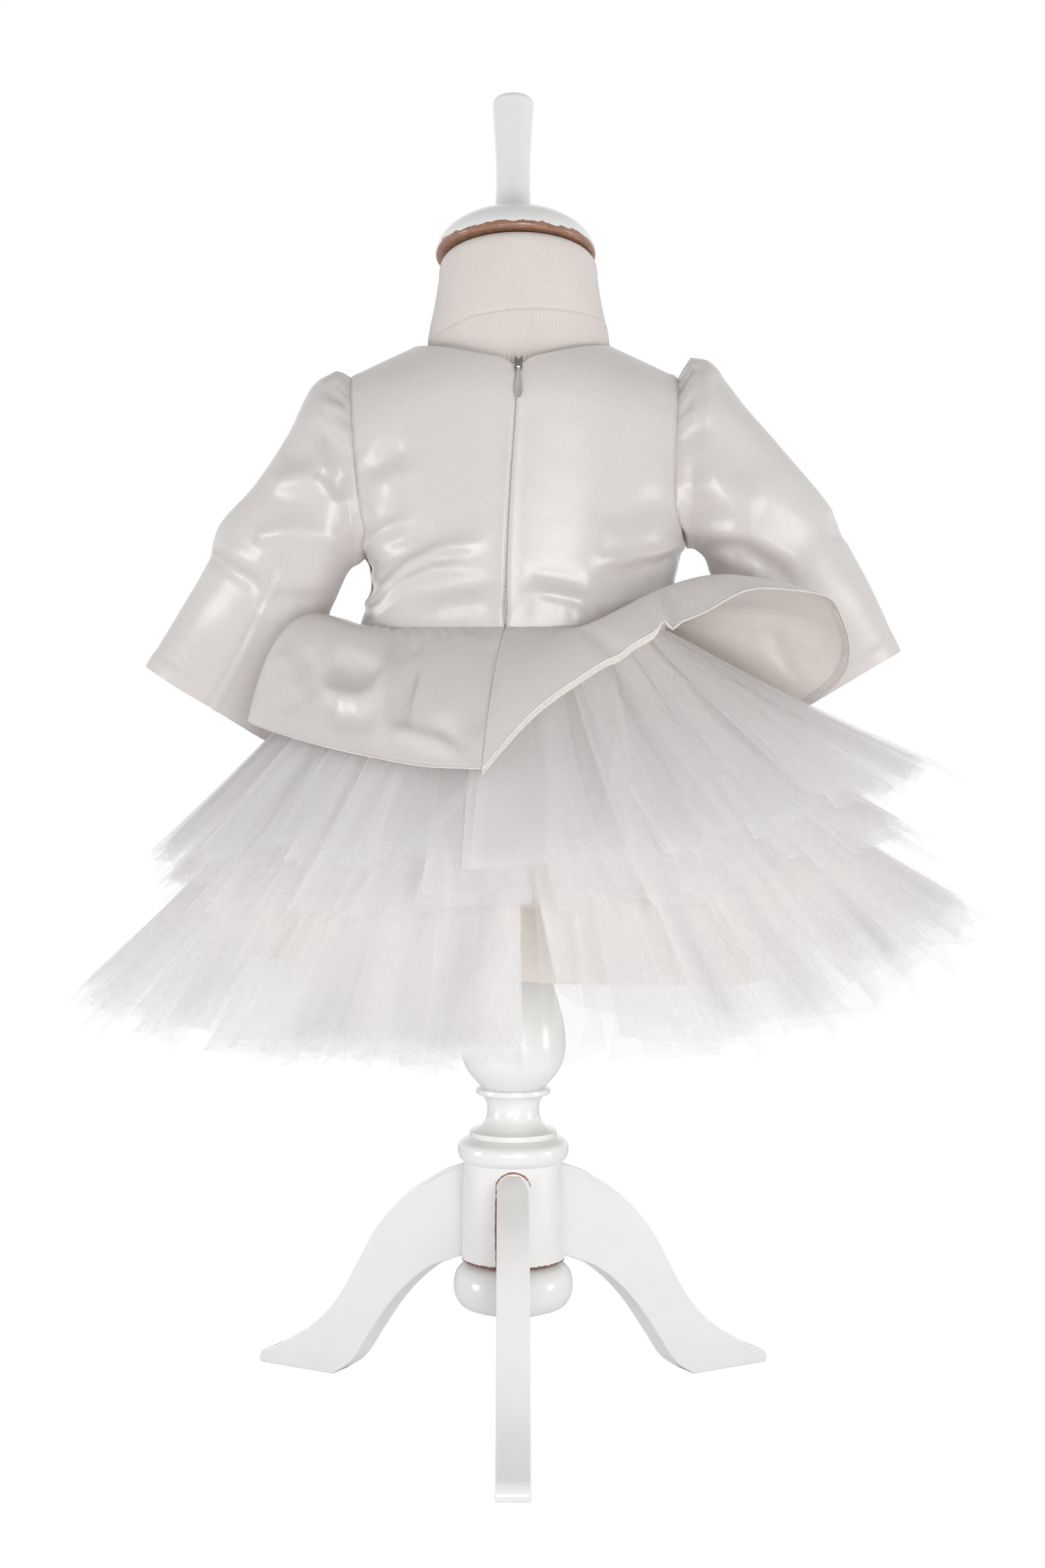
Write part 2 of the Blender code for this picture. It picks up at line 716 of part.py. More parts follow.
def tulle_tier(tier, seed, material):
    draw = random.Random(seed)
    columns = tier.waves * 2
    jags = [draw.uniform(-1, 1) * TIER_JAG * (1.0 if column % 2 else 0.6)
            for column in range(columns + 1)]
    heights = [draw.uniform(0.65, 1.0) for _ in range(columns + 1)]
    closed = tier.slit == 0
    last = columns if closed else columns + 1
    middle = []
    for row in range(TIER_ROWS):
        down = row / (TIER_ROWS - 1)
        first, gap = slit_edges(tier, down)
        ring = []
        for column in range(last):
            angle = first - (360 - gap) * column / columns
            crest = heights[column] * (1 if column % 2 else -1)
            jag = jags[column]
            if column > columns / 2:
                jag -= tier.slit * math.exp(-(angle % 360) / SLIT_CORNER)
            ring.append(tier_point(tier, angle % 360, down, crest, jag))
        middle.append(ring)
    normals = grid_normals(middle, closed)
    half = TULLE_WALL / 2
    front = [[p + n * half for p, n in zip(*lines)] for lines in zip(middle, normals)]
    back = [[p - n * half for p, n in zip(*lines)] for lines in zip(middle, normals)]
    return wall_between(tier.name, front, back, closed, material)


# Zip


def back_surface(z, x):
    # The outside of the back panels at this height, near the centre seam
    low, high = 0.0, 1.0
    for _ in range(30):
        level = (low + high) / 2
        low, high = (level, high) if body_point(0, level).z < z else (low, level)
    return Vector((x, body_point(0, low, SEAM_GAP / 2).y, z))


def zip_chain(material):
    # A narrow strip behind the seam, made from the back panels' own line
    outer = []
    rows = 12
    for row in range(rows):
        height = ZIP_FOOT_HEIGHT + (ZIP_HEAD_HEIGHT - ZIP_FOOT_HEIGHT) * row / (rows - 1)
        low, high = 0.0, 1.0
        for _ in range(30):
            level = (low + high) / 2
            low, high = (level, high) if body_point(0, level).z < height else (low, level)
        centre = body_point(0, low, SEAM_GAP / 2)
        above = body_point(0, low + 0.01, SEAM_GAP / 2)
        slope = (above - centre).normalized()
        inward = Vector((0, slope.z, -slope.y))
        start = centre + inward * (CLOTH_WALL + ZIP_CHAIN_GAP)
        half = ZIP_CHAIN_WIDTH / 2
        outer.append([start + Vector((across * half, 0, 0)) for across in (-1, 1)])
    return cloth_wall("zip_chain", outer, ZIP_CHAIN_WALL, False, material)


def box_points(low, high):
    return [Vector((x, y, z)) for z in (low[2], high[2]) for y in (low[1], high[1])
            for x in (low[0], high[0])]


BOX_FACES = [(0, 2, 3, 1), (4, 5, 7, 6), (0, 1, 5, 4), (2, 6, 7, 3), (0, 4, 6, 2), (1, 3, 7, 5)]


def hide_cutter(thing):
    thing.hide_render = True
    thing.display_type = "WIRE"


def join_by_union(target, others):
    for other in others:
        joiner = target.modifiers.new("join_" + other.name, "BOOLEAN")
        joiner.operation = "UNION"
        joiner.object = other
        hide_cutter(other)


def slider_frame():
    surface = back_surface(SLIDER_HEIGHT, ZIP_CENTRE_X)
    place = Matrix.Rotation(math.radians(-SLIDER_TILT), 4, "X")
    place.translation = surface
    return place


def hinge_place():
    return slider_frame() @ Vector((
        0, -SLIDER_LIFT - SLIDER_THICKNESS - PULL_BARREL_RADIUS - 0.3, -SLIDER_LENGTH / 2 + 1.5))


def placed(frame, points):
    return [frame @ point for point in points]


def zip_slider(material):
    # A flat body with two cheeks that hold the pull's barrel
    frame = slider_frame()
    half = SLIDER_WIDTH / 2
    front = -SLIDER_THICKNESS - SLIDER_LIFT
    body = make_object("zip_slider", placed(frame, box_points(
        (-half, front, -SLIDER_LENGTH / 2), (half, -SLIDER_LIFT, SLIDER_LENGTH / 2))),
        BOX_FACES, material)
    soften = body.modifiers.new("soften", "BEVEL")
    soften.width = 0.35 * MM
    soften.segments = 1
    cheeks = []
    for side in (-1, 1):
        low = side * (half - CHEEK_THICKNESS / 2 - 0.1) - CHEEK_THICKNESS / 2
        cheek = make_object(f"slider_cheek_{side}", placed(frame, box_points(
            (low, front - CHEEK_REACH, -SLIDER_LENGTH / 2 + 0.3),
            (low + CHEEK_THICKNESS, front + 0.6, -SLIDER_LENGTH / 2 + 3.4))), BOX_FACES, material)
        cheeks.append(cheek)
    join_by_union(body, cheeks)
    return body


def pull_half_width(down):
    # A teardrop: narrow at the hinge, widest near its foot, round at the end
    widest = 0.72
    if down < widest:
        part = ease(0.0, widest, down)
        return (PULL_NECK_WIDTH + (PULL_WIDTH - PULL_NECK_WIDTH) * part) / 2
    part = (down - widest) / (1 - widest)
    return PULL_WIDTH / 2 * math.sqrt(max(1 - part**2, 0.0))


def zip_pull(material):
    hinge = hinge_place()
    frame = Matrix.Rotation(math.radians(-PULL_TILT), 4, "X")
    frame.translation = hinge
    outline = []
    steps = 10
    for step in range(steps + 1):
        down = step / steps
        outline.append((pull_half_width(down), -down * PULL_LENGTH))
    outline = [(half, z) for half, z in outline if half > 0.01]
    left = [(-half, z) for half, z in reversed(outline)]
    loop = outline + [(0.0, -PULL_LENGTH)] + left
    half = PULL_THICKNESS / 2
    points = [Vector((x, -half, z)) for x, z in loop] + [Vector((x, half, z)) for x, z in loop]
    count = len(loop)
    faces = [tuple(range(count)), tuple(range(2 * count - 1, count - 1, -1))]
    faces += [(i, i + count, (i + 1) % count + count, (i + 1) % count) for i in range(count)]
    tab = make_object("zip_pull", placed(frame, points), faces, material, hinge)
    barrel_points = []
    sides = 10
    for end in (-1, 1):
        for side in range(sides):
            angle = 2 * math.pi * side / sides
            barrel_points.append(hinge + Vector((
                end * PULL_NECK_WIDTH / 2 * 0.98,
                PULL_BARREL_RADIUS * math.cos(angle), PULL_BARREL_RADIUS * math.sin(angle))))
    barrel_faces = [tuple(range(sides)), tuple(range(2 * sides - 1, sides - 1, -1))]
    barrel_faces += [(i, i + sides, (i + 1) % sides + sides, (i + 1) % sides)
                     for i in range(sides)]
    barrel = make_object("pull_barrel", barrel_points, barrel_faces, material)
    join_by_union(tab, [barrel])
    return tab


# Dress form and stand


def form_point(angle, level):
    size = blend_rows(FORM_LEVELS, level)
    turn = math.radians(angle)
    x = FORM_SHIFT + size.half_width * rounded(math.sin(turn))
    depth = size.back_depth if math.cos(turn) > 0 else size.front_depth
    y = -depth * rounded(math.cos(turn)) * shoulder_round(level)
    if level < 0:
        return Vector((x, y, WAIST_HEIGHT + FORM_LOWER_SCALE * level))
    top = ridge_height(x) - FORM_RIDGE_DROP
    return Vector((x, y, WAIST_HEIGHT + (top - WAIST_HEIGHT) * level))


def loft(name, rings, material):
    # A closed body through rings of equal count, with flat ends
    count = len(rings[0])
    points = [point for ring in rings for point in ring]
    faces = [tuple(range(count - 1, -1, -1))]
    for i in range(len(rings) - 1):
        for j in range(count):
            low, next_low = i * count + j, i * count + (j + 1) % count
            faces.append((low, next_low, next_low + count, low + count))
    faces.append(tuple(range((len(rings) - 1) * count, len(rings) * count)))
    return make_object(name, points, faces, material)


def form_torso(material):
    rings = [[form_point(-360 * (column + 0.5) / FORM_COLUMNS, level)
              for column in range(FORM_COLUMNS)] for level in FORM_ROWS]
    torso = loft("form_torso", rings, material)
    lowest, highest = NECK_LEVELS[1].height, NECK_LEVELS[-1].height
    neck_rings = []
    for level in NECK_LEVELS:
        lean = math.tan(math.radians(HEAD_TILT)) * ease(lowest, highest, level.height)
        ring = []
        for column in range(NECK_COLUMNS):
            turn = -2 * math.pi * column / NECK_COLUMNS
            y = -level.half_depth * math.cos(turn)
            ring.append(Vector((NECK_CENTRE_X + level.half_width * math.sin(turn), y,
                                level.height - y * lean)))
        neck_rings.append(ring)
    neck = loft("form_neck", neck_rings, material)
    join_by_union(torso, [neck])
    return torso


def head_frame(rise):
    # The tilted axis of the neck's top, this far above it
    axis = Vector((0, math.sin(math.radians(HEAD_TILT)), math.cos(math.radians(HEAD_TILT))))
    return Vector((HEAD_CENTRE_X, 0, NECK_LEVELS[-1].height)) + axis * rise


def neck_cap(material):
    cap = turn_profile("neck_cap", CAP_PROFILE, TURNED_SIDES, material)
    cap.location = head_frame(SLOT_GAP) * MM
    cap.rotation_euler.x = -math.radians(HEAD_TILT)
    return cap


def finial(material):
    knob = turn_profile("finial", FINIAL_PROFILE, TURNED_SIDES, material)
    seat = head_frame(2 * SLOT_GAP + CAP_PROFILE[-1].height)
    knob.location = (seat - Vector((HEAD_CENTRE_X, 0, 0))) * MM
    knob.rotation_euler.x = -math.radians(HEAD_TILT)
    return knob


def board(name, outline, thickness, material):
    # A flat board in the X-Z plane with this outline
    half = thickness / 2
    count = len(outline)
    points = [Vector((p[0], -half, p[1])) for p in outline]
    points += [Vector((p[0], half, p[1])) for p in outline]
    faces = [tuple(range(count)), tuple(range(2 * count - 1, count - 1, -1))]
    faces += [(i, i + count, (i + 1) % count + count, (i + 1) % count) for i in range(count)]
    return make_object(name, points, faces, material)


def leg(name, azimuth, material):
    plank = board(name, LEG_OUTLINE, LEG_THICKNESS, material)
    plank.rotation_euler.z = math.radians(azimuth)
    soften = plank.modifiers.new("soften", "BEVEL")
    soften.width = LEG_BEVEL * MM
    soften.segments = 2
    soften.limit_method = "ANGLE"
    soften.angle_limit = math.radians(60)
    return plank


def column(material):
    post = turn_profile("column", COLUMN_PROFILE, TURNED_SIDES, material)
    tenon = LEG_OUTLINE[0]
    slot = [(tenon.reach - SLOT_GAP, COLUMN_PROFILE[0].height - 4),
            (60.0, COLUMN_PROFILE[0].height - 4),
            (60.0, tenon.height + SLOT_GAP), (tenon.reach - SLOT_GAP, tenon.height + SLOT_GAP)]
    for name, azimuth in LEG_PLACES.items():
        cutter = board("slot_for_" + name, slot, LEG_THICKNESS + 2 * SLOT_GAP, material)
        cutter.rotation_euler.z = math.radians(azimuth)
        cut = post.modifiers.new("cut_" + name, "BOOLEAN")
        cut.operation = "DIFFERENCE"
        cut.object = cutter
        hide_cutter(cutter)
    return post


def build():
    clear_scene()
    satin = make_material("satin", (0.90, 0.885, 0.86), 0.38)
    satin_sleeve = make_material("sleeve_satin", (0.90, 0.885, 0.86), 0.38)
    satin_peplum = make_material("peplum_satin", (0.89, 0.875, 0.85), 0.4)
    lining = make_material("lining_satin", (0.88, 0.865, 0.83), 0.5)
    tulle = make_material("tulle", (0.87, 0.86, 0.84), 0.9)
    metal = make_material("zip_metal", (0.62, 0.62, 0.63), 0.3, 1.0)
    tape = make_material("zip_tape", (0.86, 0.85, 0.83), 0.8)
    jersey = make_material("cotton_jersey", (0.86, 0.84, 0.81), 0.95)
    paint = make_material("white_gloss_paint", (0.88, 0.88, 0.87), 0.2)

    bodice_front(satin)
    for side in (-1, 1):
        bodice_back(side, satin)
        sleeve(side, satin_sleeve)
        peplum(side, satin_peplum)
    lining_skirt(lining)
    for seed, tier in enumerate(TIERS):
        tulle_tier(tier, seed, tulle)
    zip_chain(tape)
    zip_slider(metal)
    zip_pull(metal)

    form_torso(jersey)
    neck_cap(paint)
    finial(paint)
    column(paint)
    turn_profile("bun_foot", BUN_PROFILE, TURNED_SIDES, paint)
    for name, azimuth in LEG_PLACES.items():
        leg(name, azimuth, paint)


build()
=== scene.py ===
# Baby's christening gown on its limbless dress form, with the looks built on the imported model.
# Sizes are in millimetres until makeMesh turns them into metres. +Z is up and the zip faces -Y.
import math

import bmesh
import bpy
import numpy as np
from mathutils import Matrix, Vector


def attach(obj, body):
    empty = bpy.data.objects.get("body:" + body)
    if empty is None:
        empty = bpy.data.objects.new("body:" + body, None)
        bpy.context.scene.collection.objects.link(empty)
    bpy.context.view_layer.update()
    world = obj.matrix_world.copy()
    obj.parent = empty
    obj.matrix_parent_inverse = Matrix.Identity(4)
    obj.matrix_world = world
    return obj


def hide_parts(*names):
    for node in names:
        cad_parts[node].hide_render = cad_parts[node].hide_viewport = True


mm = 0.001
restBody = "gown_and_stand"
tabBody = "pull_tab"

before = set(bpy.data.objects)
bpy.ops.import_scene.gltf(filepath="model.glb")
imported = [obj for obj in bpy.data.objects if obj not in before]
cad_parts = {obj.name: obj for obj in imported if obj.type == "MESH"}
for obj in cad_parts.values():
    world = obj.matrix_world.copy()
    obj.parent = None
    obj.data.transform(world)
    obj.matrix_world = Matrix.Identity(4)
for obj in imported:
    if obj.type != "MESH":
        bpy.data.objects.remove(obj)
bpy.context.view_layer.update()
print("frame loaded,", len(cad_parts), "nodes")


# Shaders


def linearColour(hexText):
    parts = [int(hexText[i:i + 2], 16) / 255 for i in (1, 3, 5)]
    return tuple(p / 12.92 if p <= 0.04045 else ((p + 0.055) / 1.055) ** 2.4 for p in parts) + (1.0,)


def fill(tree, node, values):
    # A socket as value is linked, an input's value is set, and all else is a setting of the node
    for key, value in values.items():
        if isinstance(value, bpy.types.NodeSocket):
            tree.links.new(value, node.inputs[key])
        elif isinstance(key, int) or key in node.inputs:
            node.inputs[key].default_value = value
        else:
            setattr(node, key, value)
    return node


def addNode(tree, kind, settings=None, links=None):
    return fill(tree, fill(tree, tree.nodes.new(kind), settings or {}), links or {})


def newMaterial(name):
    material = bpy.data.materials.new(name)
    material.use_nodes = True
    tree = material.node_tree
    return material, tree, tree.nodes["Principled BSDF"]


def surface(tree, shader):
    tree.links.new(shader.outputs[0], tree.nodes["Material Output"].inputs["Surface"])


def coordinates(tree, kind):
    return addNode(tree, "ShaderNodeTexCoord").outputs[kind]


def uvPattern(tree, scaleU, scaleV):
    # The piece's own map holds decimetres, so a scale is repeats for each 100 mm
    return addNode(tree, "ShaderNodeMapping", {"Scale": (scaleU, scaleV, 1.0)},
                   {"Vector": coordinates(tree, "UV")}).outputs["Vector"]


def noise(tree, scale, detail, vector, roughness=0.5):
    return addNode(tree, "ShaderNodeTexNoise", {"Scale": scale, "Detail": detail, "Roughness": roughness},
                   {"Vector": vector}).outputs["Fac"]


def mapRange(tree, value, fromMin, fromMax, toMin=0.0, toMax=1.0):
    return addNode(tree, "ShaderNodeMapRange", {"From Min": fromMin, "From Max": fromMax, "To Min": toMin,
                                                "To Max": toMax}, {"Value": value}).outputs["Result"]


def calculate(tree, operation, first, second, third=0.0):
    return addNode(tree, "ShaderNodeMath", {"operation": operation},
                   {0: first, 1: second, 2: third}).outputs[0]


def blendColours(tree, low, high, factor):
    return addNode(tree, "ShaderNodeMix", {"data_type": "RGBA", 6: linearColour(low), 7: linearColour(high)},
                   {0: factor}).outputs[2]


def multiplyColours(tree, first, second):
    return addNode(tree, "ShaderNodeMix", {"data_type": "RGBA", "blend_type": "MULTIPLY", 0: 1.0},
                   {6: first, 7: second}).outputs[2]


def bump(tree, strength, distance, height, under=None):
    links = {"Height": height} if under is None else {"Height": height, "Normal": under}
    return addNode(tree, "ShaderNodeBump", {"Strength": strength, "Distance": distance * mm},
                   links).outputs["Normal"]


def satinMaterial(name, light, shade, sheen, roughness, through):
    # Duchess satin: long floats of filament yarn, so a soft wide gloss and almost no visible weave
    material, tree, shader = newMaterial(name)
    tone = blendColours(tree, light, shade, noise(tree, 1.6, 2.0, uvPattern(tree, 1, 1)))
    # Yarn floats are about 0.15 mm apart, and are drawn about 0.8 mm apart so that they show
    yarn = noise(tree, 1.0, 1.0, uvPattern(tree, 125, 28))
    weave = blendColours(tree, "#F6F6F6", "#FFFFFF", mapRange(tree, yarn, 0.3, 0.7))
    crease = noise(tree, 1.0, 3.0, uvPattern(tree, 2.6, 3.6), 0.45)
    fill(tree, shader, {"Roughness": roughness, "IOR": 1.5, "Sheen Weight": sheen, "Sheen Roughness": 0.45,
                        "Specular IOR Level": 0.62, "Base Color": multiplyColours(tree, tone, weave),
                        "Normal": bump(tree, 0.32, 1.6, crease, bump(tree, 0.16, 0.08, yarn))})
    # Thin cloth with the light behind it glows a little
    glow = addNode(tree, "ShaderNodeBsdfTranslucent", {"Color": linearColour("#FFFAF0")})
    surface(tree, addNode(tree, "ShaderNodeMixShader", {0: through},
                          {1: shader.outputs[0], 2: glow.outputs[0]}))
    return material


def tulleMaterial(name, colour, rootCover, hemCover):
    # Nylon tulle: a stiff matt net that lets light through. The piece's map runs along v from root to hem.
    # The 1 mm net is too fine to show, so its holes are drawn as see-through and fine streaks.
    material, tree, shader = newMaterial(name)
    fill(tree, shader, {"Base Color": linearColour(colour), "Roughness": 0.7, "IOR": 1.53, "Sheen Weight": 0.3,
                        "Specular IOR Level": 0.25})
    axes = addNode(tree, "ShaderNodeSeparateXYZ", {}, {"Vector": coordinates(tree, "UV")})
    along = mapRange(tree, axes.outputs["Y"], 0.25, 1.0, rootCover, hemCover)
    streak = mapRange(tree, noise(tree, 1.0, 1.0, uvPattern(tree, 14, 1.2)), 0.3, 0.7, 0.93, 1.05)
    speckle = mapRange(tree, noise(tree, 1.0, 1.0, uvPattern(tree, 110, 110)), 0.3, 0.7, 0.95, 1.05)
    # A pressed fold is double and covers more
    edge = addNode(tree, "ShaderNodeAttribute", {"attribute_name": "folded"})
    line = calculate(tree, "POWER", edge.outputs["Fac"], 5.0)
    net = calculate(tree, "MULTIPLY", calculate(tree, "MULTIPLY_ADD", line, 0.26, along), streak)
    cover = addNode(tree, "ShaderNodeMath", {"operation": "MULTIPLY", "use_clamp": True}, {0: net, 1: speckle})
    through = addNode(tree, "ShaderNodeBsdfTranslucent", {"Color": linearColour(colour)})
    lit = addNode(tree, "ShaderNodeMixShader", {0: 0.7}, {1: shader.outputs[0], 2: through.outputs[0]})
    hole = addNode(tree, "ShaderNodeBsdfTransparent")
    surface(tree, addNode(tree, "ShaderNodeMixShader", {},
                          {0: cover.outputs[0], 1: hole.outputs[0], 2: lit.outputs[0]}))
    return material


def jerseyMaterial(name):
    # Cotton rib knit stretched over padding: matt, with upright ribs 1.3 mm apart
    material, tree, shader = newMaterial(name)
    rib = addNode(tree, "ShaderNodeTexWave", {"wave_type": "BANDS", "bands_direction": "X", "Scale": 24.0,
                                              "Distortion": 0.4, "Detail": 1.0, "Detail Scale": 2.0},
                  {"Vector": uvPattern(tree, 1, 1)}).outputs["Fac"]
    course = noise(tree, 1.0, 1.0, uvPattern(tree, 60, 140))
    patch = noise(tree, 2.2, 1.0, uvPattern(tree, 1, 1))
    # The rib lines are painted: each rib's hollow is coloured darker than its crest as painted shade, on top of
    # the ribs' bump, and the patches are an uneven tone of the yarn
    tone = multiplyColours(tree, blendColours(tree, "#D0CBC7", "#E2DEDB", rib),
                           blendColours(tree, "#FFFFFF", "#F6EFEA", patch))
    fill(tree, shader, {"Roughness": 0.92, "IOR": 1.5, "Sheen Weight": 0.3, "Specular IOR Level": 0.2,
                        "Base Color": tone,
                        "Normal": bump(tree, 0.25, 0.15, course, bump(tree, 0.5, 0.25, rib))})
    return material


def nearPlane(tree, coordinate, centre, reach):
    # 1 at the centre of a band of the object's own coordinate, 0 beyond its reach
    offset = calculate(tree, "SUBTRACT", coordinate, centre * mm)
    return mapRange(tree, calculate(tree, "ABSOLUTE", offset, 0.0), 0.0, reach * mm, 1.0, 0.0)


def paintMaterial(name, wornBands, bareFoot=None):
    # White gloss enamel brushed on beech: glossy, slightly uneven, rubbed to brown wood in thin places.
    # Each band of wear is the product of ranges of the object's own coordinates, and a bare foot is the
    # share of the turned profile's map below the ragged end of the paint.
    material, tree, shader = newMaterial(name)
    place = coordinates(tree, "Object")
    axes = addNode(tree, "ShaderNodeSeparateXYZ", {}, {"Vector": place})
    cloud = noise(tree, 30.0, 2.0, place)
    chips = noise(tree, 420.0, 3.0, place)
    colour = blendColours(tree, "#DDDCDB", "#E3E3E2", cloud)
    for band in wornBands:
        parts = [nearPlane(tree, axes.outputs[axis], *reach) for axis, reach in band["at"].items()]
        if "arc" in band:
            # A half ring round a slot's rounded end, in the x-z plane
            height, radius, reach = band["arc"]
            upper = addNode(tree, "ShaderNodeVectorMath", {"operation": "SUBTRACT", 1: (0, 0, height * mm)},
                            {0: place})
            flat = addNode(tree, "ShaderNodeVectorMath", {"operation": "MULTIPLY", 1: (1, 0, 1)},
                           {0: upper.outputs[0]})
            away = addNode(tree, "ShaderNodeVectorMath", {"operation": "LENGTH"}, {0: flat.outputs[0]})
            parts.insert(0, nearPlane(tree, away.outputs["Value"], radius, reach))
        mask = parts[0]
        for part in parts[1:] + [chips]:
            mask = calculate(tree, "MULTIPLY", mask, part)
        worn = mapRange(tree, mask, band["chip"], band["chip"] + 0.12)
        colour = addNode(tree, "ShaderNodeMix", {"data_type": "RGBA", 7: linearColour(band["colour"])},
                         {0: worn, 6: colour}).outputs[2]
    if bareFoot:
        upward = addNode(tree, "ShaderNodeSeparateXYZ", {}, {"Vector": coordinates(tree, "UV")})
        ragged = mapRange(tree, noise(tree, 90.0, 4.0, place, 0.65), 0.35, 0.65, -0.035, 0.035)
        painted = mapRange(tree, calculate(tree, "ADD", upward.outputs["Y"], ragged),
                           bareFoot - 0.004, bareFoot + 0.004)
        wood = blendColours(tree, "#6A4636", "#A97F67", noise(tree, 260.0, 3.0, place))
        colour = addNode(tree, "ShaderNodeMix", {"data_type": "RGBA"},
                         {0: painted, 6: wood, 7: colour}).outputs[2]
    fill(tree, shader, {"IOR": 1.5, "Coat Weight": 0.35, "Coat Roughness": 0.08, "Base Color": colour,
                        "Roughness": mapRange(tree, cloud, 0.0, 1.0, 0.16, 0.27),
                        "Normal": bump(tree, 0.15, 0.4, cloud)})
    return material


def metalMaterial(name, colour, roughness):
    # Nickel-plated die-cast zinc, tumbled: bright with soft scratches
    material, tree, shader = newMaterial(name)
    scratch = noise(tree, 1600.0, 2.0, coordinates(tree, "Object"))
    fill(tree, shader, {"Metallic": 1.0, "Base Color": linearColour(colour),
                        "Roughness": mapRange(tree, scratch, 0.0, 1.0, roughness - 0.08, roughness + 0.12)})
    return material


def threadMaterial(name, colour):
    # Spun polyester sewing thread: matt with a twist too fine to show
    material, tree, shader = newMaterial(name)
    twist = noise(tree, 900.0, 2.0, coordinates(tree, "Object"))
    fill(tree, shader, {"Roughness": 0.75, "IOR": 1.5, "Sheen Weight": 0.3,
                        "Base Color": blendColours(tree, colour, "#E6E2DE", twist)})
    return material


satin = satinMaterial("duchessSatin", "#E0DBDA", "#DAD5D4", 0.1, 0.27, 0.18)
satinInside = satinMaterial("satinWrongSide", "#EFECE5", "#E8E4DC", 0.1, 0.6, 0.3)
liningSatin = satinMaterial("liningSatin", "#F5F1EF", "#EFEAE6", 0.15, 0.5, 0.35)
tulleDense = tulleMaterial("stackedTulle", "#FEFDFD", 0.74, 0.22)
tulleSheer = tulleMaterial("sheerTulle", "#FEFDFD", 0.45, 0.15)
jersey = jerseyMaterial("ribbedCottonJersey")
zipMetal = metalMaterial("nickelPlatedZinc", "#DAD9D8", 0.36)
zipSliderMetal = metalMaterial("nickelPlatedSlider", "#9F9D9B", 0.3)
zipNylon = threadMaterial("zipCoilNylon", "#7F7975")
zipTapeCloth = threadMaterial("zipTape", "#B9B3AE")
thread = threadMaterial("sewingThread", "#C9C4BF")
# The overlock thread is coloured much darker than the lining it lies on: painted shade of the flounce's
# underside
sergeThread = threadMaterial("overlockThread", "#B3ABA6")
print("materials made")


# Meshes from grids of points


def makeMesh(name, points, faces, materials, uv=None, faceMaterial=None, sharp=None):
    mesh = bpy.data.meshes.new(name)
    mesh.from_pydata(np.asarray(points, float).reshape(-1, 3) * mm, [], faces)
    for material in materials:
        mesh.materials.append(material)
    if faceMaterial is not None:
        mesh.polygons.foreach_set("material_index", np.asarray(faceMaterial, np.int32))
    mesh.shade_smooth()
    if sharp:
        mesh.set_sharp_from_angle(angle=math.radians(sharp))
    if uv is not None:
        layer = mesh.uv_layers.new(name="clothMap")
        corners = np.empty(len(mesh.loops), np.int32)
        mesh.loops.foreach_get("vertex_index", corners)
        layer.data.foreach_set("uv", np.asarray(uv, np.float32).reshape(-1, 2)[corners].ravel())
    mesh.update()
    thing = bpy.data.objects.new(name, mesh)
    bpy.context.scene.collection.objects.link(thing)
    return thing


def gridFaces(rows, columns, closed=False, start=0):
    row, column = np.meshgrid(np.arange(rows - 1), np.arange(columns if closed else columns - 1), indexing="ij")
    after = (column + 1) % columns
    faces = np.stack([row * columns + column, row * columns + after,
                      (row + 1) * columns + after, (row + 1) * columns + column], axis=-1)
    return (faces.reshape(-1, 4) + start).tolist()


def gridMap(points):
    # Real lengths along the rows and columns, in decimetres, for patterns that follow the cloth
    across = np.linalg.norm(np.diff(points, axis=1), axis=2)
    along = np.linalg.norm(np.diff(points, axis=0), axis=2)
    u = np.concatenate([np.zeros((points.shape[0], 1)), np.cumsum(across, axis=1)], axis=1)
    v = np.concatenate([np.zeros((1, points.shape[1])), np.cumsum(along, axis=0)], axis=0)
    u = np.broadcast_to(u.mean(axis=0), u.shape)
    return np.stack([u, v], axis=-1) / 100


def gridNormals(points, closed=False):
    if closed:
        along = np.roll(points, -1, axis=1) - np.roll(points, 1, axis=1)
    else:
        along = np.gradient(points, axis=1)
    up = np.gradient(points, axis=0)
    normals = np.cross(along, up)
    return normals / np.maximum(np.linalg.norm(normals, axis=2, keepdims=True), 1e-9)


def clothShell(name, points, materials, thickness, closed=False):
    # points are the outer side, with normals out of the garment, and the shell goes inwards
    normals = gridNormals(points, closed)
    inner = points - normals * thickness
    rows, columns = points.shape[:2]
    size = rows * columns
    faces = gridFaces(rows, columns, closed)
    back = [tuple(reversed(face)) for face in gridFaces(rows, columns, closed, size)]
    rim = []
    last = columns if closed else columns - 1
    for j in range(last):
        a, b = j, (j + 1) % columns
        rim.append((b, a, a + size, b + size))
        c, d = a + size - columns, b + size - columns
        rim.append((c, d, d + size, c + size))
    if not closed:
        for i in range(rows - 1):
            a, b = i * columns, (i + 1) * columns
            rim.append((a, b, b + size, a + size))
            c, d = a + columns - 1, b + columns - 1
            rim.append((d, c, c + size, d + size))
    uv = gridMap(points)
    thing = makeMesh(name, np.concatenate([points.reshape(-1, 3), inner.reshape(-1, 3)]), faces + back + rim,
                     materials, np.concatenate([uv.reshape(-1, 2)] * 2),
                     [0] * len(faces) + [len(materials) - 1] * len(back) + [0] * len(rim), 50)
    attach(thing, restBody)
    return thing


def faceOutwards(thing):
    shape = bmesh.new()
    shape.from_mesh(thing.data)
    bmesh.ops.recalc_face_normals(shape, faces=shape.faces)
    shape.to_mesh(thing.data)
    shape.free()


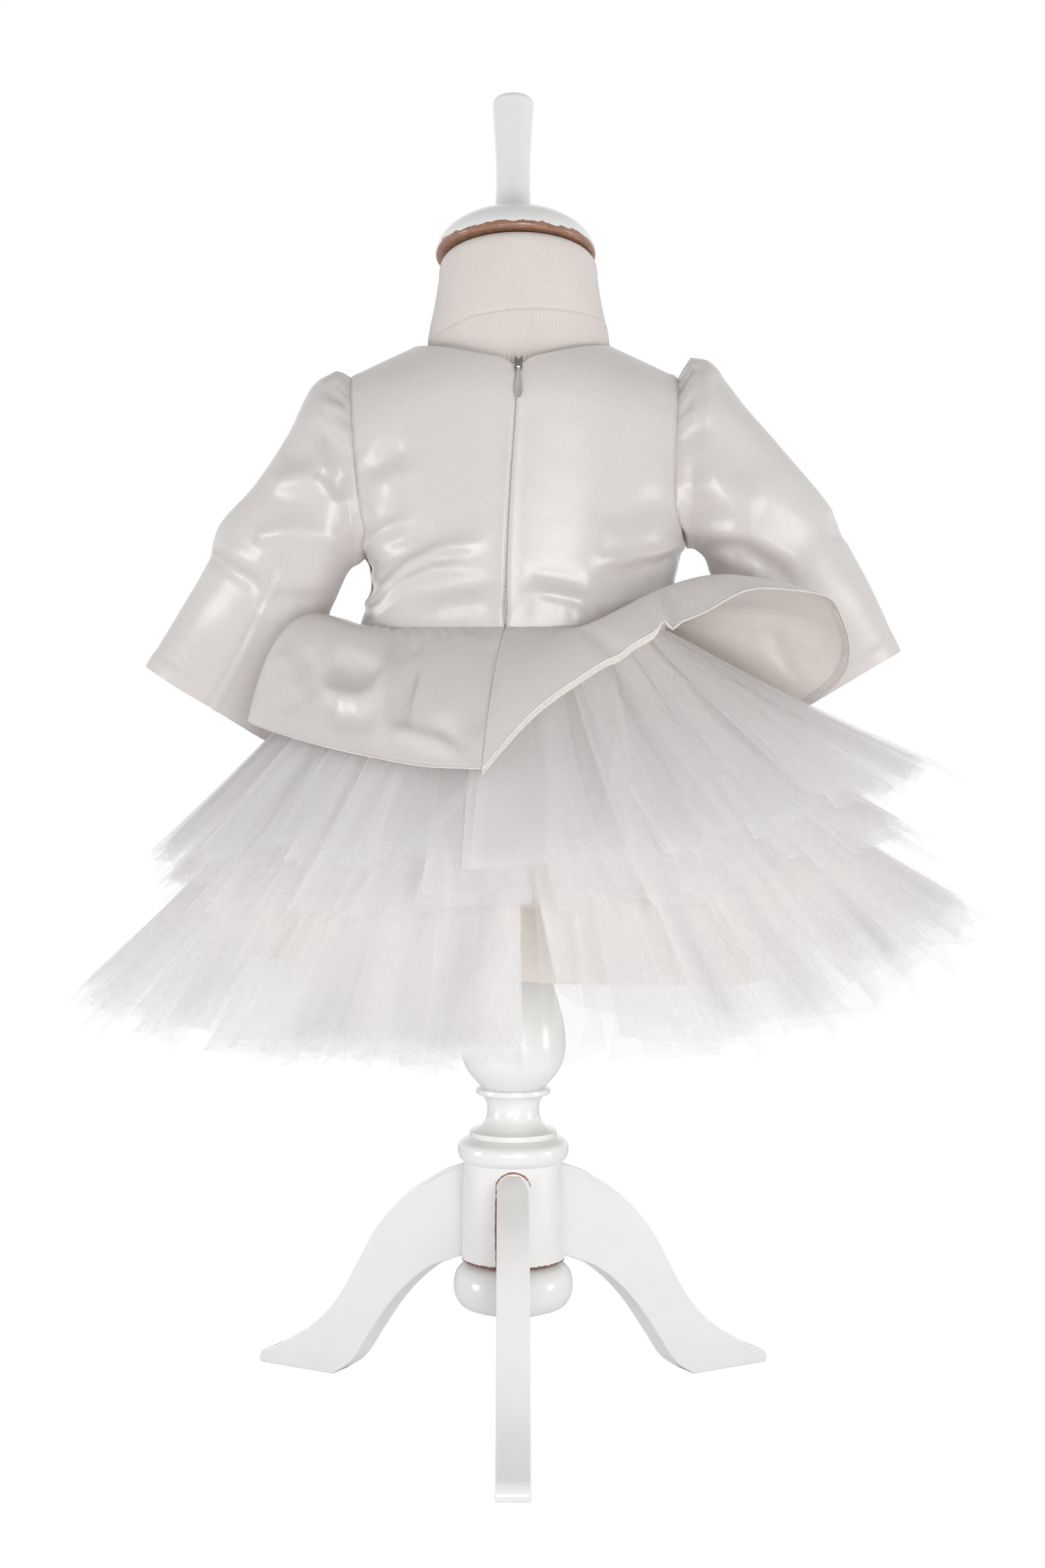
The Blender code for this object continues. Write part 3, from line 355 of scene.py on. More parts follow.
def tube(path, facing, radius, sides=8):
    # Rings of points round a line, from one end to the other
    along = np.gradient(path, axis=0)
    along /= np.linalg.norm(along, axis=1, keepdims=True)
    across = np.cross(along, facing)
    across /= np.linalg.norm(across, axis=1, keepdims=True)
    out = np.cross(across, along)
    turn = 2 * np.pi * np.arange(sides) / sides
    return (path[:, None] + radius * (np.cos(turn)[None, :, None] * across[:, None]
                                      + np.sin(turn)[None, :, None] * out[:, None]))


def repeatAlong(name, paths, pitch, size, material, seed=1):
    # Small rounded shapes at an even pitch along lines that lie on the cloth, made by Geometry Nodes
    points, edges, facing = [], [], []
    for line, normals in paths:
        start = len(points)
        points += [tuple(point) for point in np.asarray(line) * mm]
        facing += [tuple(normal) for normal in normals]
        edges += [(start + i, start + i + 1) for i in range(len(line) - 1)]
    mesh = bpy.data.meshes.new(name)
    mesh.from_pydata(points, edges, [])
    layer = mesh.attributes.new("facing", "FLOAT_VECTOR", "POINT")
    layer.data.foreach_set("vector", np.asarray(facing, np.float32).ravel())
    thing = bpy.data.objects.new(name, mesh)
    bpy.context.scene.collection.objects.link(thing)
    tree = bpy.data.node_groups.new(name + "Repeat", "GeometryNodeTree")
    sockets = {}
    for label, kind in (("Geometry", "NodeSocketGeometry"), ("Pitch", "NodeSocketFloat"),
                        ("Size", "NodeSocketVector"), ("Seed", "NodeSocketInt"),
                        ("Material", "NodeSocketMaterial")):
        sockets[label] = tree.interface.new_socket(name=label, in_out="INPUT", socket_type=kind)
    tree.interface.new_socket(name="Geometry", in_out="OUTPUT", socket_type="NodeSocketGeometry")
    given = addNode(tree, "NodeGroupInput")
    curve = addNode(tree, "GeometryNodeMeshToCurve", {}, {"Mesh": given.outputs["Geometry"]})
    spaced = addNode(tree, "GeometryNodeResampleCurve", {"mode": "LENGTH"},
                     {"Curve": curve.outputs["Curve"], "Length": given.outputs["Pitch"]})
    tangent = addNode(tree, "GeometryNodeInputTangent")
    outwards = addNode(tree, "GeometryNodeInputNamedAttribute", {"data_type": "FLOAT_VECTOR", "Name": "facing"})
    lengthwise = addNode(tree, "FunctionNodeAlignRotationToVector", {"axis": "X"},
                         {"Vector": tangent.outputs["Tangent"]})
    flat = addNode(tree, "FunctionNodeAlignRotationToVector", {"axis": "Z", "pivot_axis": "X"},
                   {"Rotation": lengthwise.outputs["Rotation"], "Vector": outwards.outputs["Attribute"]})
    bead = addNode(tree, "GeometryNodeMeshUVSphere", {"Segments": 8, "Rings": 5, "Radius": 0.5})
    uneven = addNode(tree, "FunctionNodeRandomValue", {"data_type": "FLOAT", 2: 0.85, 3: 1.12},
                     {"Seed": given.outputs["Seed"]})
    scaled = addNode(tree, "ShaderNodeVectorMath", {"operation": "SCALE"},
                     {0: given.outputs["Size"], "Scale": uneven.outputs[1]})
    placed = addNode(tree, "GeometryNodeInstanceOnPoints", {},
                     {"Points": spaced.outputs["Curve"], "Instance": bead.outputs["Mesh"],
                      "Rotation": flat.outputs["Rotation"], "Scale": scaled.outputs[0]})
    real = addNode(tree, "GeometryNodeRealizeInstances", {}, {"Geometry": placed.outputs["Instances"]})
    smooth = addNode(tree, "GeometryNodeSetShadeSmooth", {}, {"Geometry": real.outputs["Geometry"]})
    coloured = addNode(tree, "GeometryNodeSetMaterial", {}, {"Geometry": smooth.outputs["Geometry"],
                                                             "Material": given.outputs["Material"]})
    addNode(tree, "NodeGroupOutput", {}, {"Geometry": coloured.outputs["Geometry"]})
    modifier = thing.modifiers.new("repeat", "NODES")
    modifier.node_group = tree
    values = {"Pitch": pitch * mm, "Size": [s * mm for s in size], "Seed": seed, "Material": material}
    for label, value in values.items():
        modifier[sockets[label].identifier] = value
    thing.update_tag()
    graph = bpy.context.evaluated_depsgraph_get()
    made = bpy.data.meshes.new_from_object(thing.evaluated_get(graph))
    thing.modifiers.remove(modifier)
    thing.data = made
    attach(thing, restBody)
    return thing


def smoothRows(table, place):
    # The table's rows at these places in its first column, smooth between the rows given
    rows = np.array([tuple(row) for row in table], float)
    keys = rows[:, 0]
    place = np.clip(np.asarray(place, float), keys[0], keys[-1])
    low = np.clip(np.searchsorted(keys, place, side="right") - 1, 0, len(keys) - 2)
    before = np.maximum(np.arange(len(keys)) - 1, 0)
    after = np.minimum(np.arange(len(keys)) + 1, len(keys) - 1)
    slopes = (rows[after, 1:] - rows[before, 1:]) / (keys[after] - keys[before])[:, None]
    span = (keys[low + 1] - keys[low])[..., None]
    part = (place - keys[low])[..., None] / span
    first, second = rows[low, 1:], rows[low + 1, 1:]
    return (first * (1 + 2 * part) * (1 - part) ** 2 + slopes[low] * span * part * (1 - part) ** 2
            + second * part**2 * (3 - 2 * part) + slopes[low + 1] * span * part**2 * (part - 1))


def ease(low, high, value):
    part = np.clip((value - low) / (high - low), 0, 1)
    return part * part * (3 - 2 * part)


# The fold tables' heights are multiplied by this, which was chosen
foldDepth = 1.45


def addFolds(points, normals, folds, where=None):
    # A fold's row is height, width, line, then "rooted" or a steepness. The height is how far the cloth
    # stands out, less than 0 for a hollow, and the width is the reach to each side of the line in the x-z
    # plane, times the steepness on the line's left. It fades at its ends, but not at a rooted start.
    moved = points.copy()
    flat = points[..., [0, 2]]
    total = np.zeros(points.shape[:-1])
    for height, reach, line, *special in folds:
        line = np.array(line, float)
        steps = np.linalg.norm(np.diff(line, axis=0), axis=1)
        ends = np.concatenate([[0], np.cumsum(steps)]) / steps.sum()
        best = np.full(flat.shape[:-1], 1e9)
        place = np.zeros(flat.shape[:-1])
        side = np.zeros(flat.shape[:-1])
        for k in range(len(line) - 1):
            start, step = line[k], line[k + 1] - line[k]
            part = np.clip(((flat - start) @ step) / (step @ step), 0, 1)
            offset = flat - (start + part[..., None] * step)
            distance = np.linalg.norm(offset, axis=-1)
            nearer = distance < best
            best = np.where(nearer, distance, best)
            place = np.where(nearer, ends[k] + part * (ends[k + 1] - ends[k]), place)
            side = np.where(nearer, step[0] * offset[..., 1] - step[1] * offset[..., 0], side)
        steepness = [value for value in special if value != "rooted"]
        width = reach * (0.75 + 0.5 * place)
        width = np.where(side > 0, width * (steepness[0] if steepness else 1.0), width)
        strength = ease(0, 0.3, 1 - place)
        if "rooted" not in special:
            strength = strength * ease(0, 0.3, place)
        total += foldDepth * height * strength * np.exp(-((best / width) ** 2))
    if where is not None:
        total = total * where
    return moved + normals * total[..., None]


# The body that the bodice follows, from the same sizes as the solids

body = {
    "waist": 455.0, "waistLift": 9.0, "shoulderHeight": 605.0, "shoulderReach": 96.0,
    "neckHeight": 621.0, "neckReach": 60.0, "neckRise": 17.0, "neckBack": 56.0, "neckFront": 61.0,
    "neckNotch": 5.0, "roundFrom": 0.72, "squareness": 2.5, "seamGap": 0.36,
    # level from waist to shoulder, half width, depth to the back, depth to the front, shift, seam
    "levels": [(0.00, 90.0, 61.0, 63.0, -1.0, -4.5), (0.15, 89.5, 61.5, 65.0, 5.5, -4.0),
               (0.30, 93.0, 62.0, 66.0, 6.5, -3.0), (0.45, 97.0, 62.0, 66.0, 3.0, -1.5),
               (0.70, 99.5, 61.5, 64.0, 1.0, 1.5), (1.00, 101.5, 60.5, 62.5, 0.5, 3.0)],
    # rise above the underarm, share of the half width
    "armhole": [(0.00, 1.000), (0.05, 0.975), (0.14, 0.950), (0.40, 0.938), (1.00, 0.945)],
    "underarm": {-1: 0.285, 1: 0.335},
}


def ridgeHeight(x):
    reach = np.minimum(np.abs(x), body["shoulderReach"] + 8)
    near = body["neckHeight"] + body["neckRise"] * (1 - (reach / body["neckReach"]) ** 2)
    slope = (body["neckHeight"] - body["shoulderHeight"]) / (body["shoulderReach"] - body["neckReach"])
    return np.where(reach < body["neckReach"], near, body["neckHeight"] - slope * (reach - body["neckReach"]))


def waistHeight(x):
    return body["waist"] + body["waistLift"] * ease(30, 90, x)


def shoulderRound(level):
    part = np.maximum(level - body["roundFrom"], 0) / (1 - body["roundFrom"])
    return np.sqrt(np.maximum(1 - part**2, 0))


def squared(value):
    return np.sign(value) * np.abs(value) ** (2 / body["squareness"])


def bodyPoint(angle, level, off=0.0):
    # Angle in degrees round the body, 0 at the centre back and 90 at the right side seam
    angle, level = np.broadcast_arrays(np.asarray(angle, float), np.asarray(level, float))
    size = smoothRows(body["levels"], level)
    halfWidth, backDepth, frontDepth, shift, seam = (size[..., k] for k in range(5))
    turn = np.radians(angle)
    share = np.abs(np.sin(turn))
    x = seam * (1 - share) + shift * share + halfWidth * squared(np.sin(turn))
    depth = np.where(np.cos(turn) > 0, backDepth, frontDepth)
    y = -depth * squared(np.cos(turn)) * shoulderRound(level)
    y = y + np.where(np.abs(y) > 1e-6, np.sign(y), -np.sign(np.cos(turn))) * off
    z = waistHeight(x) + (ridgeHeight(x) - waistHeight(x)) * level
    return np.stack([x, y, z], axis=-1)


def armholeAngle(level, side):
    underarm = body["underarm"][side]
    share = smoothRows(body["armhole"], (level - underarm) / (1 - underarm))[..., 0]
    angle = np.degrees(np.arcsin(np.minimum(share, 1.0) ** (body["squareness"] / 2)))
    return np.where(level <= underarm, 90.0, angle)


def necklineLevel(angle, reach, notch):
    low = np.full(angle.shape, body["roundFrom"])
    high = np.ones(angle.shape)
    for _ in range(30):
        level = (low + high) / 2
        point = bodyPoint(angle, level)
        across = np.minimum(np.abs(point[..., 0]) / body["neckReach"], 1.0)
        outside = np.abs(point[..., 1]) > reach * np.sqrt(1 - across**2)
        low, high = np.where(outside, level, low), np.where(outside, high, level)
    middle = bodyPoint(np.zeros_like(angle), low)[..., 0]
    dip = notch * np.exp(-(((bodyPoint(angle, low)[..., 0] - middle) / 6) ** 2))
    return low - dip / (ridgeHeight(np.zeros(1))[0] - body["waist"])


def panelGrid(side, facing, reach, notch, rows=110, columns=76):
    # Rows from the waist up to the neckline or shoulder, columns from the centre line to the side
    underarm = body["underarm"][side]
    lower = np.linspace(0, underarm, int(rows * 0.3), endpoint=False)
    upper = underarm + (1 - underarm) * np.linspace(0, 1, rows - len(lower))
    levels = np.concatenate([lower, upper])
    # The columns beside the centre line are narrow, so that the edge at the zip can roll
    near = np.array([0, 0.3, 0.65, 1.1, 1.7, 2.5, 3.5]) / 100
    near = np.degrees(np.arcsin(near ** (body["squareness"] / 2))) / 90
    fraction = np.linspace(0, 1, columns)
    if facing == "back":
        fraction = 1 - (1 - fraction) ** 1.15
    fraction = np.concatenate([near, fraction[1:]])
    topAngle = armholeAngle(np.ones(1), side)[0] * fraction * side
    topAngle = topAngle if facing == "back" else 180 - topAngle
    top = necklineLevel(topAngle, reach, notch)
    angle = armholeAngle(levels, side)[:, None] * fraction[None] * side
    angle = angle if facing == "back" else 180 - angle
    grid = bodyPoint(angle, levels[:, None] * top[None], body["seamGap"] / 2)
    # The waist seam's allowance hangs behind the flounce
    tuck = grid[0] * np.array([0.99, 0.985, 1.0]) - np.array([0, 0, 3.0])
    return np.concatenate([tuck[None], grid]), fraction, np.concatenate([[0.0], levels])


# Bodice panels, with the folds that the photo's side shows and softer ones like them at the front

backFoldsLeft = [
    (-1.5, 7, [(-88, 541), (-73.3, 551.7), (-57, 557)]),
    (0.9, 7, [(-80, 535), (-64, 541), (-46, 543)]),
    (1.9, 4.5, [(-88, 504), (-71, 511.5), (-54, 515.5)], "rooted"),
    (-1.5, 6, [(-78, 500), (-60, 508.5), (-38, 507)]),
    (2.3, 4.5, [(-82, 471), (-57.1, 491.2), (-37.2, 499.5), (-12, 503.2)], "rooted"),
    (-1.2, 4.5, [(-86, 487), (-80, 476), (-77, 466)]),
    (-1.2, 5, [(-84, 492), (-62, 497), (-40, 504)], "rooted"),
    (1.7, 3.5, [(-80, 465), (-61.2, 480.7), (-45.1, 487.5), (-24, 490.5)], "rooted"),
    (-1.2, 3.5, [(-70, 481), (-48, 493), (-24, 496)]),
    (-1.3, 6, [(-62, 473), (-21, 479.2), (-5, 481)]),
    (0.9, 5, [(-52, 460), (-36, 468), (-14, 471)]),
]
backFoldsRight = [
    (-1.2, 8, [(44, 515), (73.3, 524.3), (92, 530)]),
    (0.9, 8, [(50, 502), (74, 508), (93, 514)]),
    (-1.0, 3.5, [(97, 499.5), (83.8, 492.7), (66.1, 487.5), (44, 484.4)], "rooted"),
    (1.5, 4, [(98, 505), (83, 499), (62, 494), (42, 491)], "rooted"),
    (1.3, 4.5, [(95, 480), (70.3, 471.3), (45, 468.2)], "rooted"),
    (-0.9, 5, [(42, 479.5), (58.2, 481), (78, 486)]),
    (1.5, 4, [(4, 476.5), (32.7, 471.3), (56, 465.5)]),
    (-0.9, 5, [(6, 486), (28, 483), (44, 478)]),
]
frontFolds = [
    (1.6, 5, [(-88, 500), (-66, 509), (-40, 511)], "rooted"),
    (1.8, 5, [(-84, 472), (-58, 488), (-30, 493)], "rooted"),
    (-1.3, 6, [(-80, 486), (-54, 499), (-24, 503)]),
    (1.5, 5, [(94, 505), (70, 499), (44, 497)], "rooted"),
    (1.6, 5, [(92, 480), (64, 472), (34, 471)], "rooted"),
    (-1.3, 6, [(88, 493), (60, 485), (30, 484)]),
    (-1.0, 8, [(-70, 548), (-50, 556), (-30, 559)]),
    (-1.1, 8, [(42, 532), (66, 538), (86, 546)]),
    (1.0, 5, [(-46, 466), (-16, 474), (18, 470)]),
]


def seamValleys(grid, normals, side, levels, fraction):
    # The cloth dips beside each seam that gathers it, with small uneven puckers along the armhole
    fromArm = (1 - fraction)[None] * 96
    above = ease(body["underarm"][side] - 0.05, body["underarm"][side] + 0.08, levels)[:, None]
    height = grid[..., 2]
    pucker = 0.5 + 0.5 * np.sin(height * 0.62 + 1.7 * np.sin(height * 0.21) + side)
    dip = -(0.1 + 0.3 * pucker) * np.exp(-((fromArm / 2.5) ** 2)) * above
    puff = (0.35 + 0.45 * pucker) * np.exp(-(((fromArm - 6) / 4.5) ** 2)) * above
    fromWaist = height - waistHeight(grid[..., 0])
    gather = 0.5 + 0.5 * np.sin(grid[..., 0] * 0.55 + 1.3 * np.sin(grid[..., 0] * 0.13 + side))
    waist = -(0.02 + 0.1 * gather) * np.exp(-((fromWaist / 3.5) ** 2))
    rise = (0.1 + 0.4 * gather) * np.exp(-(((fromWaist - 9) / 6) ** 2))
    return grid + normals * (dip + puff + waist + rise)[..., None]


def bodicePanel(side, facing):
    back = facing == "back"
    reach, notch = (body["neckBack"], body["neckNotch"]) if back else (body["neckFront"], 0.0)
    grid, fraction, levels = panelGrid(side, facing, reach, notch)
    normals = gridNormals(grid) * (side if back else -side)
    folds = (backFoldsLeft if side < 0 else backFoldsRight) if back else frontFolds
    inside = ease(0.0, 0.05, levels)[:, None] * ease(0.0, 0.06, 1 - levels)[:, None]
    grid = addFolds(grid, normals, folds, inside)
    grid = seamValleys(grid, normals, side, levels, fraction)
    if back:
        # The edge beside the zip rolls in, and stands a little open near the waist
        fromEdge = np.abs(grid[..., 0] - grid[:, :1, 0])
        parted = (ease(0.0, 0.06, levels) * ease(0.02, 0.26, 0.28 - levels))[:, None]
        grid[..., 0] += side * (0.22 + 0.85 * parted) * np.exp(-fromEdge / 4.0)
        grid[..., 1] += (0.75 + 0.35 * parted) * np.exp(-fromEdge / 0.5)
        grid[..., 1] -= 0.3 * np.exp(-(((fromEdge - 2.4) / 1.3) ** 2))
    return grid


def flipColumns(grid):
    return np.ascontiguousarray(grid[:, ::-1])


backLeft = clothShell("backPanelLeft", flipColumns(bodicePanel(-1, "back")), [satin, satinInside], 0.7)
backRight = clothShell("backPanelRight", bodicePanel(1, "back"), [satin, satinInside], 0.7)
frontHalves = [bodicePanel(1, "front"), bodicePanel(-1, "front")]
frontGrid = np.concatenate([flipColumns(frontHalves[0]), frontHalves[1][:, 1:]], axis=1)
frontPanel = clothShell("frontPanel", frontGrid, [satin, satinInside], 0.7)
for piece, node in ((backLeft, "bodice_back_left"), (backRight, "bodice_back_right"),
                    (frontPanel, "bodice_front")):
    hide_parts(node)
print("bodice made")


# Sleeves: rings from the armhole to the cuff, each squeezed and folded as the bent arm's cloth is

sleeveTables = {
    -1: [(0.04, -104, 607.5, -91, 495.5, 31, 0), (0.12, -118, 600, -96, 493, 34, 1),
         (0.25, -133, 572, -101, 485, 35, 5), (0.40, -154, 543, -107, 472, 34, 13),
         (0.55, -177, 521, -114, 457, 32, 29), (0.66, -186, 500, -121, 444, 30, 42),
         (0.82, -203, 475, -133, 421, 27, 55), (1.00, -228, 438, -152, 391, 24, 66)],
    1: [(0.04, 105, 616.0, 102.5, 504.5, 31, 0), (0.12, 117, 612, 108, 504, 34, 1),
        (0.25, 139, 586, 114, 497, 35, 5), (0.40, 164, 560, 119, 485, 34, 13),
        (0.55, 191, 532, 127, 470, 32, 29), (0.66, 203, 512, 134, 457, 30, 42),
        (0.82, 219, 487, 145, 434, 27, 56), (1.00, 239.5, 447, 162, 402, 24, 68)],
}
sleeveFolds = {
    -1: [
        (1.1, 5.4, [(-116, 597), (-104, 601.5), (-94, 602)]),
        (-1.3, 4.1, [(-104, 590.5), (-99.7, 588.5), (-95, 588)], "rooted"),
        (1.2, 4.7, [(-112, 588), (-103, 584.5), (-95, 580)]),
        (-2.7, 8.8, [(-117, 580), (-104, 560), (-99, 545), (-97.5, 528)], 0.75),
        (-1.2, 4.1, [(-112, 545), (-104, 540), (-97, 529)], "rooted"),
        (1.8, 6.8, [(-143, 549), (-135.2, 541.5), (-116, 543), (-102, 537)]),
        (-1.2, 8.1, [(-138, 560), (-124, 556), (-110, 556)]),
        (-1.3, 9.5, [(-144, 530), (-124, 529), (-106, 524)]),
        (1.9, 6.8, [(-146, 511), (-123.6, 513), (-101, 507), (-91, 498)], "rooted"),
        (-1.7, 4.7, [(-182, 502), (-166.1, 491.5), (-145, 479)], "rooted"),
        (1.2, 6.8, [(-176, 510), (-158, 499), (-140, 491)]),
        (-1.7, 6.1, [(-147, 479), (-128, 472.9), (-112, 472), (-98, 475)]),
        (-1.0, 8.1, [(-150, 492), (-130, 493), (-110, 489)]),
        (1.0, 6.8, [(-160, 470), (-140, 462), (-122, 462)]),
        (-0.56, 1.2, [(-136, 500), (-139.5, 492), (-147, 478), (-166, 445), (-190, 406), (-205, 381)],
         "rooted"),
        (0.42, 1.8, [(-132, 500), (-136, 490), (-143.5, 476), (-162.5, 443), (-186, 404), (-201, 379)],
         "rooted"),
    ],
    1: [
        (1.1, 6.8, [(102, 614), (112, 610), (121, 600)]),
        (-1.1, 4.1, [(93, 592), (99, 587), (103, 580)], "rooted"),
        (-2.3, 14.9, [(98, 583), (121, 562), (150, 539)]),
        (1.0, 10.8, [(112, 590), (134, 571), (156, 552)]),
        (1.4, 10.8, [(104, 548), (122, 536), (146, 524)]),
        (-1.8, 8.1, [(194, 531), (196, 520), (198, 509)]),
        (-1.6, 5.1, [(106, 504), (135, 502.6), (156.5, 491.5), (176, 476)], "rooted"),
        (1.6, 6.1, [(110, 512), (137, 511), (162, 500), (182, 485)], "rooted"),
        (-1.2, 4.3, [(112, 494), (127.5, 488), (146, 483)], "rooted"),
        (1.0, 4.3, [(118, 497), (134, 494), (150, 489)]),
        (1.0, 8.1, [(134, 470), (154, 463), (176, 462)]),
    ],
}


def armholeRing(side, count):
    # From the shoulder seam down the back to the underarm, and up the front, at even turns
    underarm = body["underarm"][side]
    levels = underarm + (1 - underarm) * np.linspace(0, 1, 60) ** 0.85
    half = body["seamGap"] / 2
    back = bodyPoint(armholeAngle(levels[::-1], side) * side, levels[::-1], half)
    front = bodyPoint(180 - armholeAngle(levels, side) * side, levels, half)
    turns, points = [], []
    for part, offset in ((back, 0.0), (front, 0.5)):
        steps = np.linalg.norm(np.diff(part, axis=0), axis=1)
        turns.append(offset + 0.008 + 0.484 * np.concatenate([[0], np.cumsum(steps)]) / steps.sum())
        points.append(part)
    turns, points = np.concatenate(turns), np.concatenate(points)
    turns = np.concatenate([turns - 1, turns, turns + 1])
    points = np.tile(points, (3, 1))
    wanted = (np.arange(count) + 0.5) / count
    ring = np.stack([np.interp(wanted, turns, points[:, k]) for k in range(3)], axis=1)
    return ring + np.array([side * body["seamGap"] * 1.3, 0, 0]), wanted


def sleevePoints(side, down, turns):
    table = smoothRows(sleeveTables[side], down)
    outer = np.stack([table[..., 0], np.zeros_like(down), table[..., 1]], axis=-1)
    inner = np.stack([table[..., 2], np.zeros_like(down), table[..., 3]], axis=-1)
    middle = (outer + inner) / 2
    middle[..., 1] += table[..., 5]
    angle = 2 * np.pi * turns
    points = middle + (outer - inner) / 2 * np.cos(angle)[..., None]
    points[..., 1] -= table[..., 4] * np.sin(angle)
    return points


def outOf(ring):
    away = ring - ring.mean(axis=0)
    away[:, 0] = 0
    return away / np.linalg.norm(away, axis=1, keepdims=True)


def sleeve(side, rows=132, columns=176):
    ring, turns = armholeRing(side, columns)
    downs = np.concatenate([[0.04], np.linspace(0.05, 1.0, rows - 1)])
    limb = sleevePoints(side, downs[:, None] * np.ones(columns), np.ones(rows)[:, None] * turns)
    lead = np.linspace(0, 1, 9)[:-1, None, None]
    head = ring * (1 - lead) + limb[0] * lead
    under = ring + np.array([-side * 2.2, 0, 0]) - 0.9 * outOf(ring)
    grid = np.concatenate([under[None], head, limb])
    downs = np.concatenate([[0.0], np.linspace(0, 0.04, 9)[:-1], downs])
    normals = gridNormals(grid, True)
    centre = grid.mean(axis=1, keepdims=True)
    if np.sum((grid - centre) * normals) < 0:
        normals = -normals
    facingBack = ease(-0.15, 0.35, -normals[..., 1])
    facingFront = ease(-0.15, 0.35, normals[..., 1])
    backFolded = addFolds(grid, normals, sleeveFolds[side], facingBack * ease(0.0, 0.03, downs)[:, None])
    mirrored = [(height * 0.8, width, [(x + 3, z - 5) for x, z in line], *special)
                for height, width, line, *special in sleeveFolds[side]]
    frontFolded = addFolds(grid, normals, mirrored, facingFront * ease(0.0, 0.03, downs)[:, None])
    grid = backFolded + frontFolded - grid
    # Short gathers run out of the armhole seam, deepest over the sleeve's head
    overHead = 0.25 + 0.75 * (1 - ease(0.05, 0.3, np.minimum(turns, 1 - turns)))
    phase = turns * 2 * np.pi
    gather = np.sin(17 * phase + 1.4 * np.sin(3 * phase)) + 0.5 * np.sin(29 * phase + side)
    near = np.exp(-((downs - 0.035) / 0.045) ** 2)[:, None]
    grid = grid + normals * (0.55 * gather[None] * overHead[None] * near)[..., None]
    dip = -0.35 * np.exp(-((downs / 0.012) ** 2))[:, None]
    grid = grid + normals * (dip * np.ones(columns))[..., None]
    # The turned cuff hem is a little thicker and waves slightly
    hem = 0.5 * ease(0.955, 0.965, downs)[:, None] * np.ones(columns)
    wave = 0.8 * np.sin(3 * phase + side) * ease(0.6, 1.0, downs)[:, None]
    grid = grid + normals * (hem + wave)[..., None]
    if np.sum((grid - centre) * gridNormals(grid, True)) < 0:
        grid = flipColumns(grid)
    return grid


for side, node in ((-1, "sleeve_left"), (1, "sleeve_right")):
    piece = clothShell("sleeveLeft" if side < 0 else "sleeveRight", sleeve(side), [satin, satinInside], 0.7,
                       closed=True)
    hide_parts(node)
print("sleeves made")


# Peplum: two flared flounces, satin outside and lining inside, the right one turned up

peplumTables = {
    -1: [(0, -17, -132, 376, -11, -98, 436), (22, -49, -127, 377.5, -36, -96, 441),
         (38, -80, -114, 383, -58, -82, 448), (50, -108, -92, 389, -70, -74, 462),
         (62, -134, -64, 396, -92, -66, 470), (76, -150, -34, 401, -120, -44, 485),
         (92, -154, -6, 403, -136, -18, 488), (106, -145, 22, 397, -114, 14, 446),
         (120, -130, 52, 391, -100, 38, 436), (138, -104, 84, 390, -80, 66, 448),
         (158, -56, 118, 388, -44, 92, 452), (180, 0, 130, 386, 0, 100, 450)],
    1: [(0, -17, -132, 376, -11, -98, 436), (17, 11, -134, 407, 14, -98, 449),
        (30, 40, -134, 428, 38, -96, 462), (43, 72, -134, 447, 62, -90, 478),
        (53, 101, -128, 459, 80, -84, 490), (64, 126, -116, 472, 104, -68, 497),
        (75, 155, -85, 474, 128, -44, 496), (82, 178, -55, 472.5, 140, -26, 491),
        (85.5, 186, -43, 467, 144, -18, 488), (93, 196.5, -20, 448, 152, -4, 482),
        (102, 194, -2, 429, 148, 4, 466),
        (112, 176, 14, 413, 128, 16, 452), (124, 148, 44, 406, 108, 38, 448),
        (138, 116, 80, 399, 88, 62, 452), (158, 60, 118, 390, 46, 92, 452),
        (180, 0, 130, 386, 0, 100, 450)],
}
peplumFolds = {
    -1: [
        (-1.0, 3, [(-49, 448), (-52.4, 442.4), (-56, 438)], "rooted"),
        (3.6, 6, [(-112, 430), (-104, 420), (-94, 414), (-83, 412.5), (-74, 417), (-69, 428), (-68, 442)]),
        (-3.6, 9, [(-104, 440), (-92, 431), (-82, 432), (-78, 440)]),
        (-1.4, 6, [(-98, 408), (-84, 402), (-72, 407)]),
        (2.3, 6, [(-62, 446), (-67, 438), (-69.3, 399), (-71, 385)], 0.4),
        (-2.2, 6, [(-52, 436), (-57.5, 412), (-58, 393)], 0.4),
        (-1.5, 6, [(-134, 440), (-128, 424), (-121, 404)]),
        (2.0, 5, [(-71, 399), (-46.7, 391.4), (-20, 383)]),
        (-1.4, 4, [(-44, 402), (-34, 393), (-24, 382)]),
        (2.4, 8, [(-26, 446), (-30, 420), (-40, 392)], "rooted"),
        (-1.5, 5, [(-12, 440), (-14, 415), (-20, 390)], "rooted"),
        (-1.2, 3, [(-103, 416), (-97, 405), (-93, 394)]),
        (1.8, 7, [(-136, 446), (-130, 428), (-120, 410)]),
        (-1.8, 7, [(-118, 446), (-114, 430), (-110, 412)]),
    ],
    1: [
        (-1.8, 4, [(113, 449), (123.4, 425), (131, 400)], "rooted"),
        (1.6, 4, [(85, 436), (98.3, 419.3), (124, 392)], "rooted"),
        (-1.4, 5, [(40, 452), (52, 440), (66, 432)], "rooted"),
        (1.4, 6, [(150, 462), (160, 440), (166, 420)]),
    ],
}


